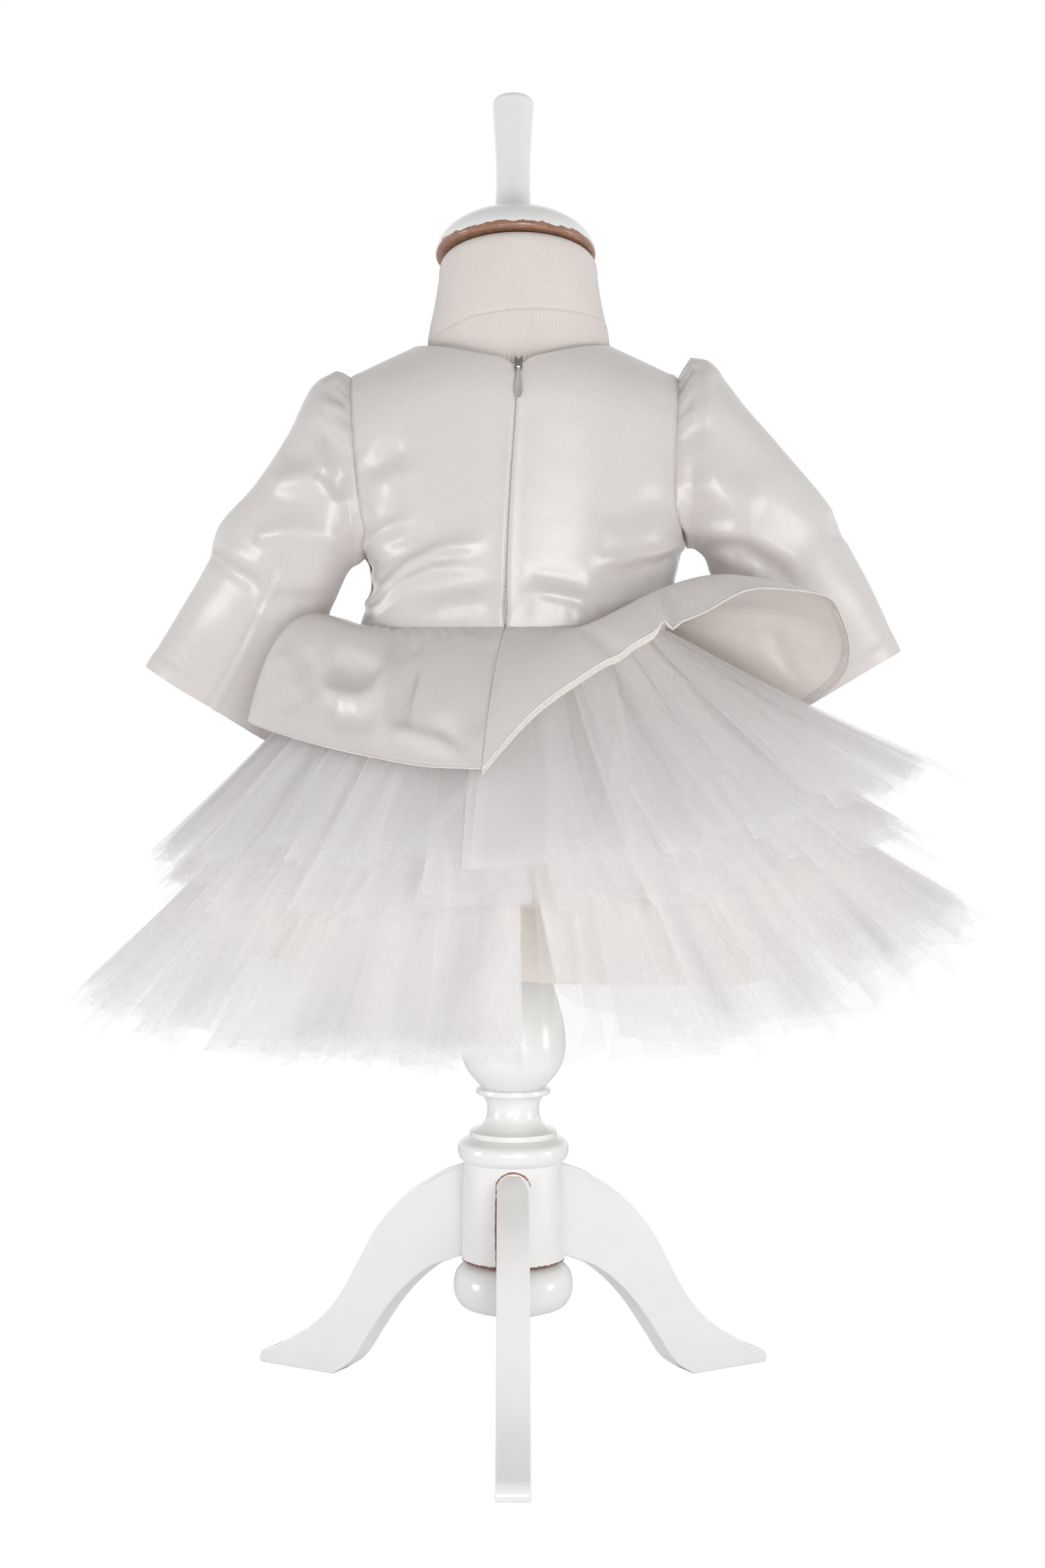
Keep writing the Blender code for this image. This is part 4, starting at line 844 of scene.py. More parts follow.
def waistPoints(angle, out, drop):
    point = bodyPoint(angle, 0.0)
    centre = (bodyPoint(np.array(90.0), 0.0) + bodyPoint(np.array(-90.0), 0.0)) / 2
    away = np.stack([point[..., 0] - centre[0], 1.4 * (point[..., 1] - centre[1]),
                     np.zeros_like(point[..., 0])], axis=-1)
    away = away / np.linalg.norm(away, axis=-1, keepdims=True)
    moved = point + away * np.asarray(out)[..., None]
    moved[..., 2] -= drop
    return moved, away


def peplumGrid(side, rows=64, columns=240):
    angles = 180 * np.linspace(0, 1, columns)
    table = smoothRows(peplumTables[side], angles)
    root, away = waistPoints(side * angles, 0.75 * np.ones(columns), 0.1)
    hem, crown = table[:, 0:3], table[:, 3:6]
    down = np.linspace(0, 1, rows)[:, None, None]
    grid = root * (1 - down) ** 2 + crown * 2 * down * (1 - down) + hem * down**2
    for edge in (0, columns - 1):
        grid[:, edge, 0] += side * body["seamGap"] / 2
    if side > 0:
        grid, angles = flipColumns(grid), angles[::-1]
    normals = gridNormals(grid)
    downs = down[:, :, 0]
    free = ease(0.0, 0.2, downs)
    if side > 0:
        # A kink where the hem was caught, low on its left and high on its right
        nearKink = ease(0.55, 1.0, downs) * (grid[..., 1] < 0)
        grid[..., 2] += nearKink * (4.2 * np.exp(-(((grid[..., 0] - 79.5) / 3.0) ** 2))
                                    - 2.6 * np.exp(-(((grid[..., 0] - 85.0) / 2.4) ** 2)))
    shown = ease(-0.3, 0.3, -normals[..., 1]) if side < 0 else ease(-0.2, 0.4, np.abs(normals[..., 1]))
    folded = addFolds(grid, normals, peplumFolds[side], 0.85 * free * shown * (grid[..., 1] < 10))
    # Gathers leave the waist seam and die out, and the flounce waves on its hidden sides too
    phase = np.radians(angles)[None]
    gather = np.sin(58 * phase + 2.0 * np.sin(5 * phase)) + 0.6 * np.sin(83 * phase + side)
    waves = np.sin(11 * phase + 1.3 * np.sin(3 * phase) + side) * ease(60, 110, angles)[None]
    lift = 0.45 * gather * np.exp(-(((downs - 0.09) / 0.08) ** 2)) + 1.6 * waves * ease(0.3, 1.0, downs)
    return folded + normals * lift[..., None], angles


hemLines = {}
hemTurns = {}
for side, node in ((-1, "peplum_left"), (1, "peplum_right")):
    grid, angles = peplumGrid(side)
    piece = clothShell("flounceLeft" if side < 0 else "flounceRight", grid, [satin, liningSatin], 0.9)
    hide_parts(node)
    hemLines[side] = (grid[-1], gridNormals(grid)[-1], grid[-4])
    hemTurns[side] = angles


def besideHem(side, up, out, first=0, last=None):
    # A line on the flounce at this height above its hem, standing out of the outer side
    hem, normals, above = (line[first:last] for line in hemLines[side])
    rise = above - hem
    rise /= np.linalg.norm(rise, axis=1, keepdims=True)
    return hem + rise * up + normals * out, normals


crossings = 440  # of the overlock's thread, from edge to edge
for side in (-1, 1):
    word = "Left" if side < 0 else "Right"
    path, facing = besideHem(side, 0.1, -0.45)
    rings = tube(path, facing, 0.62)
    roll = makeMesh("hemPiping" + word, rings, gridFaces(*rings.shape[:2], True), [satin],
                    gridMap(rings), None, 60)
    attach(roll, restBody)
    stitches = repeatAlong("hemStitches" + word, [besideHem(side, 2.4, 0.06)], 2.5, (1.9, 0.42, 0.3), thread)
    # Inside, the raw edges are overlocked together: a band of thread, laced to and fro
    low, facing = besideHem(side, 0.9, -1.15)
    high = besideHem(side, 4.7, -1.15)[0]
    facing = -facing
    if side > 0:
        # Where this flounce turns up, the band rolls out and hangs below the hem
        rolled = (1 - ease(42, 52, hemTurns[side]))[:, None]
        hem = hemLines[side][0]
        low = low * (1 - rolled) + rolled * (hem + np.array([0, 0.6, -0.5]))
        high = high * (1 - rolled) + rolled * (hem + np.array([0.4, 3.0, -3.7]))
        facing = facing * (1 - rolled) + rolled * np.array([0.0, -0.78, -0.62])
        facing /= np.linalg.norm(facing, axis=1, keepdims=True)
    band = clothShell("overlockBand" + word, np.stack([high, (low + high) / 2, low]), [sergeThread], 0.18)
    steps = np.linspace(0, len(low) - 1, crossings)
    ends = np.stack([np.stack([np.interp(steps, np.arange(len(low)), line[:, k]) for k in range(3)], axis=1)
                     for line in (low, high)])
    lacing = np.where((np.arange(crossings) % 2 == 0)[:, None], ends[0], ends[1])
    turned = np.stack([np.interp(steps, np.arange(len(low)), facing[:, k]) for k in range(3)], axis=1)
    lace = repeatAlong("overlockThread" + word, [(lacing + turned * 0.3, turned)], 1.3, (1.35, 0.4, 0.32),
                       sergeThread, 3)
print("peplum made")


# Lining skirt, a plain flared tube of thin satin with a deep hem

liningTop, liningHem = 452.6, 262
# height, flare beyond the waist
liningLevels = [(262, 64), (300, 50), (345, 32), (395, 13), (425, 5), (452.6, 0.0)]


def liningPoints(angle, down, out=0.0):
    angle, down = np.broadcast_arrays(np.asarray(angle, float), np.asarray(down, float))
    height = liningTop + (liningHem - liningTop) * down
    level = smoothRows(liningLevels, height)[..., 0]
    wave = 3.0 * down**2 * np.sin(np.radians(9 * angle))
    point, away = waistPoints(angle, level + wave + out, 0.0)
    lift = (waistHeight(point[..., 0]) - body["waist"]) * (1 - down)
    point[..., 2] = height - 8.0 * np.sin(np.radians(angle)) * down**2 + lift
    return point


def liningGrid(rows=60, columns=260):
    angles = -360 * np.arange(columns) / columns
    downs = np.linspace(0, 1, rows)
    grid = liningPoints(angles[None], downs[:, None])
    normals = gridNormals(grid, True)
    phase = np.radians(angles)[None]
    drape = np.sin(23 * phase + 2 * np.sin(4 * phase)) + 0.5 * np.sin(41 * phase)
    hem = 0.5 * np.exp(-(((downs[:, None] - 0.9) / 0.008) ** 2))
    return grid + normals * (0.8 * drape * ease(0.1, 0.8, downs)[:, None] - hem)[..., None]


lining = clothShell("liningSkirt", liningGrid(), [liningSatin, satinInside], 0.6, closed=True)
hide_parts("lining_skirt")
print("lining made")


# Tulle: each tier is a few layers of flat pressed strips that lap over one another

tierTables = {
    "top": [(0, 94, 118), (45, 112, 104), (80, 147, 78), (100, 128, 98), (125, 96, 120),
            (180, 92, 116), (235, 88, 120), (270, 112, 119), (315, 100, 118), (360, 94, 118)],
    "middle": [(0, 100, 118), (45, 112, 106), (80, 130, 88), (100, 118, 104), (125, 94, 124),
               (180, 94, 122), (235, 88, 118), (270, 106, 114), (315, 100, 120), (360, 100, 118)],
    "bottom": [(0, 122, 166), (45, 134, 148), (80, 154, 104), (100, 146, 122), (125, 124, 154),
               (180, 122, 166), (235, 122, 168), (270, 140, 148), (315, 128, 160), (360, 122, 166)],
}
tiers = {
    "top": {"node": "tulle_tier_top", "root": 446.0, "wave": 4.2, "sag": 5.0, "slit": 0.0, "jag": 8.0,
            "layers": 2, "strips": 38, "seed": 5, "sheer": False},
    "middle": {"node": "tulle_tier_middle", "root": 423.0, "wave": 4.4, "sag": 7.0, "slit": 0.0, "jag": 9.0,
               "layers": 2, "strips": 38, "seed": 17, "sheer": False},
    "bottom": {"node": "tulle_tier_bottom", "root": 397.0, "wave": 5.0, "sag": 8.0, "slit": 90.0, "jag": 14.0,
               "layers": 3, "strips": 42, "seed": 29, "sheer": True},
}


rootGap = 1.76  # from the lining to the seam that holds a tier


def tierPoints(tier, table, angle, down, lift, jag):
    line = smoothRows(table, angle % 360)
    rootDown = (liningTop - tier["root"]) / (liningTop - liningHem)
    start = rootGap
    root = liningPoints(angle, rootDown, start)
    ahead = liningPoints(angle, rootDown, start + 10)
    away = ahead - root
    away[..., 2] = 0
    away /= np.linalg.norm(away, axis=-1, keepdims=True)
    hem = root + away * line[..., 0:1]
    hem[..., 2] -= line[..., 1]
    along = hem - root
    along /= np.linalg.norm(along, axis=-1, keepdims=True)
    hem = hem + along * jag[..., None]
    middle = (root + hem) / 2
    middle[..., 2] -= tier["sag"]
    down = down[..., None]
    point = root * (1 - down) ** 2 + middle * 2 * down * (1 - down) + hem * down**2
    across = np.stack([-away[..., 1], away[..., 0], np.zeros_like(away[..., 0])], axis=-1)
    rise = np.cross(along, across)
    rise = np.where(rise[..., 2:3] > 0, rise, -rise)
    rise /= np.linalg.norm(rise, axis=-1, keepdims=True)
    return point + rise * lift[..., None]


def markFolds(thing, values):
    # 1 at a pressed fold, where the net lies double and so shows a line
    layer = thing.data.attributes.new("folded", "FLOAT", "POINT")
    layer.data.foreach_set("value", np.asarray(values, np.float32).ravel())


def tulleLayer(name, key, layer, material, rows=16):
    tier, table = tiers[key], tierTables[key]
    draw = np.random.default_rng(tier["seed"] * 10 + layer)
    strips = tier["strips"]
    span = 360.0 if tier["slit"] == 0 else 356.4
    widths = draw.uniform(0.5, 1.5, strips)
    widths = widths / widths.sum() * span
    starts = np.concatenate([[0], np.cumsum(widths)[:-1]])
    lap = draw.uniform(0.15, 0.75, strips)
    high = draw.uniform(0.3, 1.0, strips)
    # Four points to each pleat: its flat top runs over the next one, then the cloth turns back under
    offsets, lifts, uAcross = [], [], []
    for k in range(strips):
        w = widths[k]
        offsets += [starts[k], starts[k] + w * (0.5 + lap[k] / 2), starts[k] + w * (1 + lap[k]),
                    starts[k] + w * (0.9 - 0.2 * lap[k])]
        lifts += [0.3 * high[k] - 0.1, 0.6 * high[k], 0.3 * high[k], -0.3]
    offsets, lifts = np.array(offsets), np.array(lifts)
    # The pleats stand on broad soft waves of the whole layer
    lifts = lifts + 0.45 * np.sin(np.radians(offsets * 13) + 1.5 * np.sin(np.radians(offsets * 4)) + layer)
    lean = np.repeat(draw.normal(0, 1.6, strips), 4) + draw.normal(0, 0.3, strips * 4)
    jag = np.repeat(draw.uniform(-1, 0.7, strips), 4) * tier["jag"] + draw.uniform(-1, 1, strips * 4) * 4.0
    folded = np.tile([0.15, 0.0, 1.0, 0.2], strips)
    downs = np.linspace(0, 1, rows)
    opening = 1.4 + 2.2 * downs if tier["slit"] else np.zeros(rows)
    turn = layer * 2.6 if tier["slit"] == 0 else 0.0
    angle = -(offsets[None] + turn) + lean[None] * 1.6 * downs[:, None] ** 1.5
    if tier["slit"]:
        # The cut edges stay to the left and to the right of the slit
        left = 0.6 + 1.4 * downs[:, None]
        right = 1.2 + 2.0 * downs[:, None]
        angle = np.clip(angle, -(360 - right), 0.0) + left
        angle = np.where(angle < -(360 - right) + 0.2, -(360 - right), np.minimum(angle, left))
        nearRight = np.exp(-(angle % 360) / 5.5) * ((angle % 360) < 60)
        jag = jag - (tier["slit"] * nearRight)[-1]
    half = 0.5 + (tier["wave"] - 0.5) * downs[:, None] * (1.0 if layer < 2 else 0.8)
    lift = lifts[None] * half + (layer - 0.5) * (0.25 + 1.3 * downs[:, None])
    grid = tierPoints(tier, table, angle, downs[:, None] * np.ones(len(offsets)), lift,
                      jag[None] * np.ones((rows, 1)))
    faces = gridFaces(rows, grid.shape[1], tier["slit"] == 0)
    steps = np.linalg.norm(np.diff(grid[rows // 2], axis=0), axis=1)
    u = np.concatenate([[0], np.cumsum(steps)]) / 100
    v = downs[:, None] * np.ones(len(u))
    uv = np.stack([u[None] * np.ones((rows, 1)), v], axis=-1)
    thing = makeMesh(name, grid, faces, [material], uv, None, 25)
    markFolds(thing, folded[None] * np.ones((rows, 1)))
    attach(thing, restBody)
    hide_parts(tier["node"])
    length = np.linalg.norm(np.diff(grid, axis=0), axis=2).sum(axis=0).mean()
    width = steps.sum()
    return thing, (round(width / 1000, 3), round(length / 1000, 3))


def strayStrips(name, key, count, seed, reachPast, spread=(4, 356), lean=6.5, material=tulleSheer):
    # Single strips of the net that lie over the pleats, cut aslant at their tips
    tier, table = tiers[key], tierTables[key]
    draw = np.random.default_rng(seed)
    rows = 9
    points, faces, uv = [], [], []
    for k in range(count):
        angle = draw.uniform(*spread)
        turn = draw.normal(0, lean)
        begin = draw.uniform(0.03, 0.4)
        past = draw.uniform(-0.5, 1.0) * reachPast
        wide = draw.uniform(1.2, 11.0)
        past = past * (1.2 if wide < 3 else 0.6)
        slant = draw.uniform(-20, 20)
        rise = draw.uniform(0.5, 4.5)
        downs = np.linspace(begin, 1.0, rows)
        part = (downs - begin) / (1 - begin)
        across = np.array([-0.5, -0.46, 0.0, 0.46, 0.5])
        angles = angle + turn * part[:, None] + wide * across[None] * (0.4 + 0.6 * part[:, None])
        if tier["slit"]:
            angles = np.clip(angles, -1.8, 356.5)
        lift = (rise * part[:, None] + 0.8) + 0.8 * draw.uniform(-1, 1) * across[None]
        lift = lift + 0.5 * part[:, None] * (1 - (2 * across[None]) ** 2)
        jag = (past + slant * across)[None] * np.ones((rows, 1))
        grid = tierPoints(tier, table, -angles, downs[:, None] * np.ones(5), lift * np.ones((rows, 5)), jag)
        start = len(points) * rows * 5
        points.append(grid.reshape(-1, 3))
        faces += gridFaces(rows, 5, False, start)
        side = np.linalg.norm(grid[:, -1] - grid[:, 0], axis=1)
        uv.append(np.stack([k + side[:, None] / 100 * (across + 0.5)[None],
                            downs[:, None] * np.ones(5)], axis=-1).reshape(-1, 2))
    thing = makeMesh(name, np.concatenate(points), faces, [material], np.concatenate(uv), None, 30)
    markFolds(thing, np.tile([1.0, 0.25, 0.0, 0.25, 1.0], rows * count))
    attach(thing, restBody)
    return thing


tulle = []
for key in ("top", "middle", "bottom"):
    tier = tiers[key]
    for layer in range(tier["layers"]):
        name = "tulle" + key.capitalize() + str(layer + 1)
        piece, flat = tulleLayer(name, key, layer, tulleSheer if tier["sheer"] else tulleDense)
        tulle.append((piece, flat))
strays = {"Top": strayStrips("tulleStraysTop", "top", 84, 3, 24),
          "Middle": strayStrips("tulleStraysMiddle", "middle", 96, 4, 26),
          "Bottom": strayStrips("tulleStraysBottom", "bottom", 180, 6, 22)}
# Left of the slit the bottom tier hangs straight and close
strays["Band"] = strayStrips("tulleBand", "bottom", 44, 8, 7, (-1, 24), 1.6, tulleDense)
print("tulle made")


# The padded form, and the turned and sawn wood that carries it

formLevels = [(-0.84, 34.0, 30.0, 30.0), (-0.82, 56.0, 46.0, 46.0), (-0.74, 72.0, 54.0, 56.0),
              (-0.50, 82.0, 57.0, 61.0), (-0.20, 84.0, 56.0, 62.0), (0.00, 83.0, 54.0, 60.0),
              (0.20, 84.0, 55.0, 60.0), (0.45, 88.0, 56.0, 60.0), (0.70, 90.5, 56.0, 58.5),
              (1.00, 91.0, 55.0, 57.0)]
neckLevels = [(572, 49.0, 42.0), (604, 54.0, 47.0), (618, 54.0, 47.5), (631, 52.5, 47.0),
              (645, 49.5, 46.5), (660, 47.0, 46.0), (669, 46.0, 45.0), (672.5, 43.5, 42.5),
              (674, 39.5, 39.0)]
headTilt = math.radians(11.0)
headCentre = 1.5
neckTop = 674.0


def capped(name, rings, materials, uv, sharp):
    # A closed body through rings of points, with a flat end at each
    rows, columns = rings.shape[:2]
    faces = gridFaces(rows, columns, True)
    faces = [tuple(reversed(range(columns)))] + faces
    faces.append(tuple(range((rows - 1) * columns, rows * columns)))
    thing = makeMesh(name, rings, faces, materials, uv, None, sharp)
    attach(thing, restBody)
    return thing


def formPoints(angle, level):
    size = smoothRows(formLevels, level)
    turn = np.radians(angle)
    x = 2.0 + size[..., 0] * squared(np.sin(turn))
    depth = np.where(np.cos(turn) > 0, size[..., 1], size[..., 2])
    y = -depth * squared(np.cos(turn)) * shoulderRound(level)
    top = ridgeHeight(x) - 3.8
    z = np.where(level < 0, body["waist"] + 184.0 * level, body["waist"] + (top - body["waist"]) * level)
    return np.stack([x, y, z], axis=-1)


def ringMap(rings):
    # Round the form in decimetres at its widest, so that the knit's ribs keep their count to the neck
    columns = rings.shape[1]
    u = np.linspace(0, 5.0, columns)[None] * np.ones((rings.shape[0], 1))
    return np.stack([u, rings[..., 2] / 100], axis=-1)


formColumns = 160
formLevelsFine = np.unique(np.concatenate([np.linspace(-0.84, -0.7, 14), np.linspace(-0.7, 0.72, 30),
                                           np.linspace(0.72, 0.975, 26)]))
formAngles = 180 + 360 * (np.arange(formColumns) + 0.5) / formColumns
formRings = formPoints(formAngles[None] * np.ones((len(formLevelsFine), 1)),
                       formLevelsFine[:, None] * np.ones(formColumns))
torso = capped("jerseyTorso", formRings, [jersey], ringMap(formRings), 60)

neckHeights = np.concatenate([np.linspace(572, 612, 10), np.linspace(613, 668, 111),
                              np.linspace(668.5, 674, 10)])
neckSizes = smoothRows(neckLevels, neckHeights)
lean = math.tan(headTilt) * ease(604, 674, neckHeights)
neckTurns = np.pi + 2 * np.pi * np.arange(formColumns) / formColumns
neckSeam = [(-60, 621), (-49, 623.5), (-44, 627), (-23, 634), (0, 636.5), (19, 637.4), (52, 636.6), (60, 636)]


def neckSeamHeight(x, y):
    shown = np.interp(x, *np.array(neckSeam).T)
    return shown + (630 - shown) * ease(-10, 30, y)


neckRings = np.stack([
    3.0 + neckSizes[:, 0:1] * np.sin(neckTurns),
    -neckSizes[:, 1:2] * np.cos(neckTurns),
    neckHeights[:, None] + neckSizes[:, 1:2] * np.cos(neckTurns) * lean[:, None]], axis=-1)
neckOut = np.stack([np.sin(neckTurns), -np.cos(neckTurns), np.zeros(formColumns)], axis=1)
fromSeam = neckRings[..., 2] - neckSeamHeight(neckRings[..., 0], neckRings[..., 1])
step = 0.35 * (1 - ease(-1.2, 0.4, fromSeam)) - 0.45 * np.exp(-((fromSeam / 0.8) ** 2))
neckRings = neckRings + neckOut[None] * step[..., None]
seamRow = np.array([neckRings[np.argmin(np.abs(fromSeam[:, k])), k] for k in range(formColumns)])
seamRow[:, 2] = neckSeamHeight(seamRow[:, 0], seamRow[:, 1])
seamRow = np.concatenate([seamRow, seamRow[:1]]) + np.concatenate([neckOut, neckOut[:1]]) * 0.1
neckStitches = repeatAlong("neckSeamStitches", [(seamRow, np.concatenate([neckOut, neckOut[:1]]))], 2.2,
                           (1.1, 0.5, 0.35), thread, 9)
neck = capped("jerseyNeck", neckRings, [jersey], ringMap(neckRings), 60)
for piece in (torso, neck):
    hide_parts("form_torso")
print("form made")


def smoothProfile(points, steps=5):
    # Points of a turned profile with a true curve between them; a third value keeps a corner sharp
    coords = np.array([p[:2] for p in points], float)
    corner = [len(p) > 2 for p in points]
    corner[0] = corner[-1] = True
    out = []
    for i in range(len(coords) - 1):
        a, b = coords[i], coords[i + 1]
        length = np.linalg.norm(b - a)

        def slope(j, other):
            if corner[j]:
                return (b - a) / length
            before, after = coords[j] - coords[j - 1], coords[j + 1] - coords[j]
            mixed = before / np.linalg.norm(before) ** 2 + after / np.linalg.norm(after) ** 2
            return mixed / max(np.linalg.norm(mixed), 1e-9)

        first, second = slope(i, a) * length, slope(i + 1, b) * length
        for t in np.linspace(0, 1, steps, endpoint=False):
            out.append(a * (1 + 2 * t) * (1 - t) ** 2 + first * t * (1 - t) ** 2
                       + b * t * t * (3 - 2 * t) + second * t * t * (t - 1))
    out.append(coords[-1])
    return np.array(out)


def turnedRings(profile, sides=96):
    angle = 2 * np.pi * np.arange(sides) / sides
    radius, height = profile[:, 0:1], profile[:, 1:2]
    return np.stack([radius * np.cos(angle), radius * np.sin(angle), height * np.ones(sides)], axis=-1)


def tilted(points, place):
    turn = np.array(Matrix.Rotation(-headTilt, 3, "X"))
    return points @ turn.T + np.array(place)


def headPlace(rise):
    return (headCentre, math.sin(headTilt) * rise, neckTop + math.cos(headTilt) * rise)


capProfile = [(42.0, 0.0), (45.6, 0.0, 1), (46.9, 1.4), (47.0, 4.5), (45.8, 8.5), (43.0, 12.8),
              (38.0, 17.2), (31.0, 21.2), (22.0, 24.4), (14.5, 26.0)]
finialProfile = [(11.2, 0.0), (10.5, 10.0), (10.2, 28.0), (11.0, 49.0), (12.2, 68.5), (12.3, 72.4),
                 (11.4, 73.8, 1)]
columnProfile = [(28.5, 83.0), (30.5, 84.6, 1), (29.9, 112.0), (29.3, 140.5, 1), (29.3, 142.5, 1),
                 (31.6, 145.0), (32.8, 149.0), (32.0, 153.5), (28.0, 156.2, 1), (25.8, 157.5, 1),
                 (25.8, 160.5, 1), (20.5, 162.5), (16.5, 167.0), (15.4, 173.0), (16.4, 179.0),
                 (19.0, 182.0, 1), (21.7, 182.8), (21.7, 185.6, 1), (18.8, 186.6, 1), (22.0, 190.0),
                 (28.0, 198.0), (31.0, 209.0), (30.3, 222.0), (26.5, 238.0), (21.5, 257.0),
                 (17.5, 276.0), (17.0, 288.0, 1), (24.0, 291.5, 1), (24.0, 299.6, 1)]
bunProfile = [(24.0, 55.0), (31.0, 58.0), (34.6, 64.0), (35.3, 70.5), (33.8, 77.0), (29.5, 81.5),
              (22.0, 82.6)]
legOutline = [(24.2, 139.0, 1), (31.0, 138.6), (41.0, 135.5), (52.0, 129.0), (64.0, 121.5),
              (77.0, 110.5), (92.0, 93.5), (105.0, 72.0), (117.0, 52.0), (129.0, 37.5), (143.0, 26.0),
              (164.0, 13.5), (179.5, 3.5), (179.0, 0.0, 1), (124.0, 0.0, 1), (112.0, 8.0), (98.0, 27.0),
              (82.0, 49.0), (61.5, 69.0), (50.0, 76.5), (39.5, 80.5), (31.8, 83.6), (24.2, 83.6, 1)]

capPaint = paintMaterial("enamelOnCap", [], 0.3)
plainPaint = paintMaterial("enamel", [])
columnPaint = paintMaterial("enamelOnColumn", [
    {"arc": (130.0, 10.4, 1.1), "at": {"Z": (142.0, 14.0), "Y": (-31.0, 40.0)}, "chip": 0.1,
     "colour": "#8A5A44"},
    {"at": {"X": (-9.9, 1.1), "Y": (-30.0, 20.0), "Z": (108.0, 34.0)}, "chip": 0.07, "colour": "#7A4A34"},
    {"at": {"Z": (84.4, 1.8)}, "chip": 0.12, "colour": "#6E4433"},
])
legPaint = paintMaterial("enamelOnLegs", [])


def rodPiece(name, profile, material, node, place=None):
    rings = turnedRings(smoothProfile(profile))
    if place is not None:
        rings = tilted(rings, place)
    around = np.linspace(0, 1, rings.shape[1])[None] * np.ones((rings.shape[0], 1))
    upward = np.linspace(0, 1, rings.shape[0])[:, None] * np.ones(rings.shape[1])
    thing = capped(name, rings, [material], np.stack([around, upward], axis=-1), 40)
    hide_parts(node)
    return thing


cap = rodPiece("neckCap", capProfile, capPaint, "neck_cap", headPlace(0.35))
knob = rodPiece("finialKnob", finialProfile, plainPaint, "finial",
                np.array(headPlace(0.7 + 26.0)) - np.array([headCentre, 0, 0]))
bun = rodPiece("bunFoot", bunProfile, plainPaint, "bun_foot")
post = rodPiece("turnedColumn", columnProfile, columnPaint, "column")


def legPiece(name, azimuth, node):
    outline = smoothProfile(legOutline, 4)
    half = 18.6 / 2
    count = len(outline)
    # The end that sits in the column's slot is rounded across its width
    arch = np.sqrt(1 - np.clip((outline[:, 1] - 130.0) / 9.6, 0, 0.97) ** 2)
    front = np.stack([outline[:, 0], -half * arch, outline[:, 1]], axis=1)
    back = front * np.array([1, -1, 1])
    faces = [tuple(range(count)), tuple(range(2 * count - 1, count - 1, -1))]
    faces += [(i, i + count, (i + 1) % count + count, (i + 1) % count) for i in range(count)]
    thing = makeMesh(name, np.concatenate([front, back]), faces, [legPaint])
    turn = Matrix.Rotation(math.radians(azimuth), 4, "Z")
    thing.data.transform(turn)
    faceOutwards(thing)
    soften = thing.modifiers.new("rounded edges", "BEVEL")
    soften.width = 2.4 * mm
    soften.segments = 4
    soften.limit_method = "ANGLE"
    soften.angle_limit = math.radians(50)
    thing.data.shade_smooth()
    thing.data.set_sharp_from_angle(angle=math.radians(50))
    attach(thing, restBody)
    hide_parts(node)
    return thing


for name, azimuth, node in (("legFront", -90.0, "leg_front"), ("legBackLeft", 150.0, "leg_back_left"),
                            ("legBackRight", 30.0, "leg_back_right")):
    legPiece(name, azimuth, node)
print("stand made")


# Zip: a tape behind the seam with its coil, a cast slider and a drop-shaped pull tab

zipSizes = {"foot": 456.5, "head": 599.0, "width": 6.0, "wall": 0.5, "behind": 1.35, "centre": 3.0,
            "hinge": (3.0, -62.516, 600.81), "sliderTilt": -20.0, "pullTilt": -11.0}

zipLevels = np.linspace(0.0, 0.93, 90)
zipLine = bodyPoint(np.zeros_like(zipLevels), zipLevels, body["seamGap"] / 2)
zipLine = zipLine[(zipLine[:, 2] > zipSizes["foot"]) & (zipLine[:, 2] < zipSizes["head"])]
upward = np.gradient(zipLine, axis=0)
upward /= np.linalg.norm(upward, axis=1, keepdims=True)
zipOut = np.stack([np.zeros(len(zipLine)), -upward[:, 2], upward[:, 1]], axis=1)
tapePath = zipLine - zipOut * zipSizes["behind"]
tapeGrid = np.stack([tapePath + np.array([across * zipSizes["width"] / 2, 0, 0])
                     for across in (-1, -0.4, 0.4, 1)], axis=1)
tape = clothShell("zipTape", tapeGrid, [zipTapeCloth], zipSizes["wall"])
coilPath = tapePath + zipOut * 0.3
coil = repeatAlong("zipCoil", [(coilPath + np.array([0.45 * side, 0, 0.3 * side]),
                                np.tile([0.0, -1.0, 0.0], (len(coilPath), 1))) for side in (-1, 1)],
                   0.95, (0.5, 1.5, 0.6), zipNylon)
for piece, slot in ((tape, "zip_tape"), (coil, "zip_tape")):
    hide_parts("zip_chain")


def turnedPlate(outline, rings):
    # A plate with shaped edges: each ring is the outline drawn in by an inset, at its own depth
    outline = np.asarray(outline, float)
    before, after = np.roll(outline, 1, axis=0), np.roll(outline, -1, axis=0)
    tangent = after - before
    inward = np.stack([-tangent[:, 1], tangent[:, 0]], axis=1)
    inward /= np.linalg.norm(inward, axis=1, keepdims=True)
    made = []
    for inset, depth in rings:
        flat = outline + inward * inset
        made.append(np.stack([flat[:, 0], np.full(len(flat), depth), flat[:, 1]], axis=1))
    return np.array(made)


def castPiece(name, parts, material, node, rideOn, origin, tilt):
    # Closed parts in their own frame, joined in one mesh and set in place
    points, faces = [], []
    for rings in parts:
        start = sum(len(p) for p in points)
        rows, columns = rings.shape[:2]
        points.append(rings.reshape(-1, 3))
        faces += gridFaces(rows, columns, True, start)
        faces.append(tuple(range(start + columns - 1, start - 1, -1)))
        faces.append(tuple(range(start + (rows - 1) * columns, start + rows * columns)))
    turn = np.array(Matrix.Rotation(math.radians(tilt), 3, "X"))
    placed = np.concatenate(points) @ turn.T + np.array(origin)
    thing = makeMesh(name, placed, faces, [material], None, None, 35)
    faceOutwards(thing)
    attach(thing, rideOn)
    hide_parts(node)
    return thing


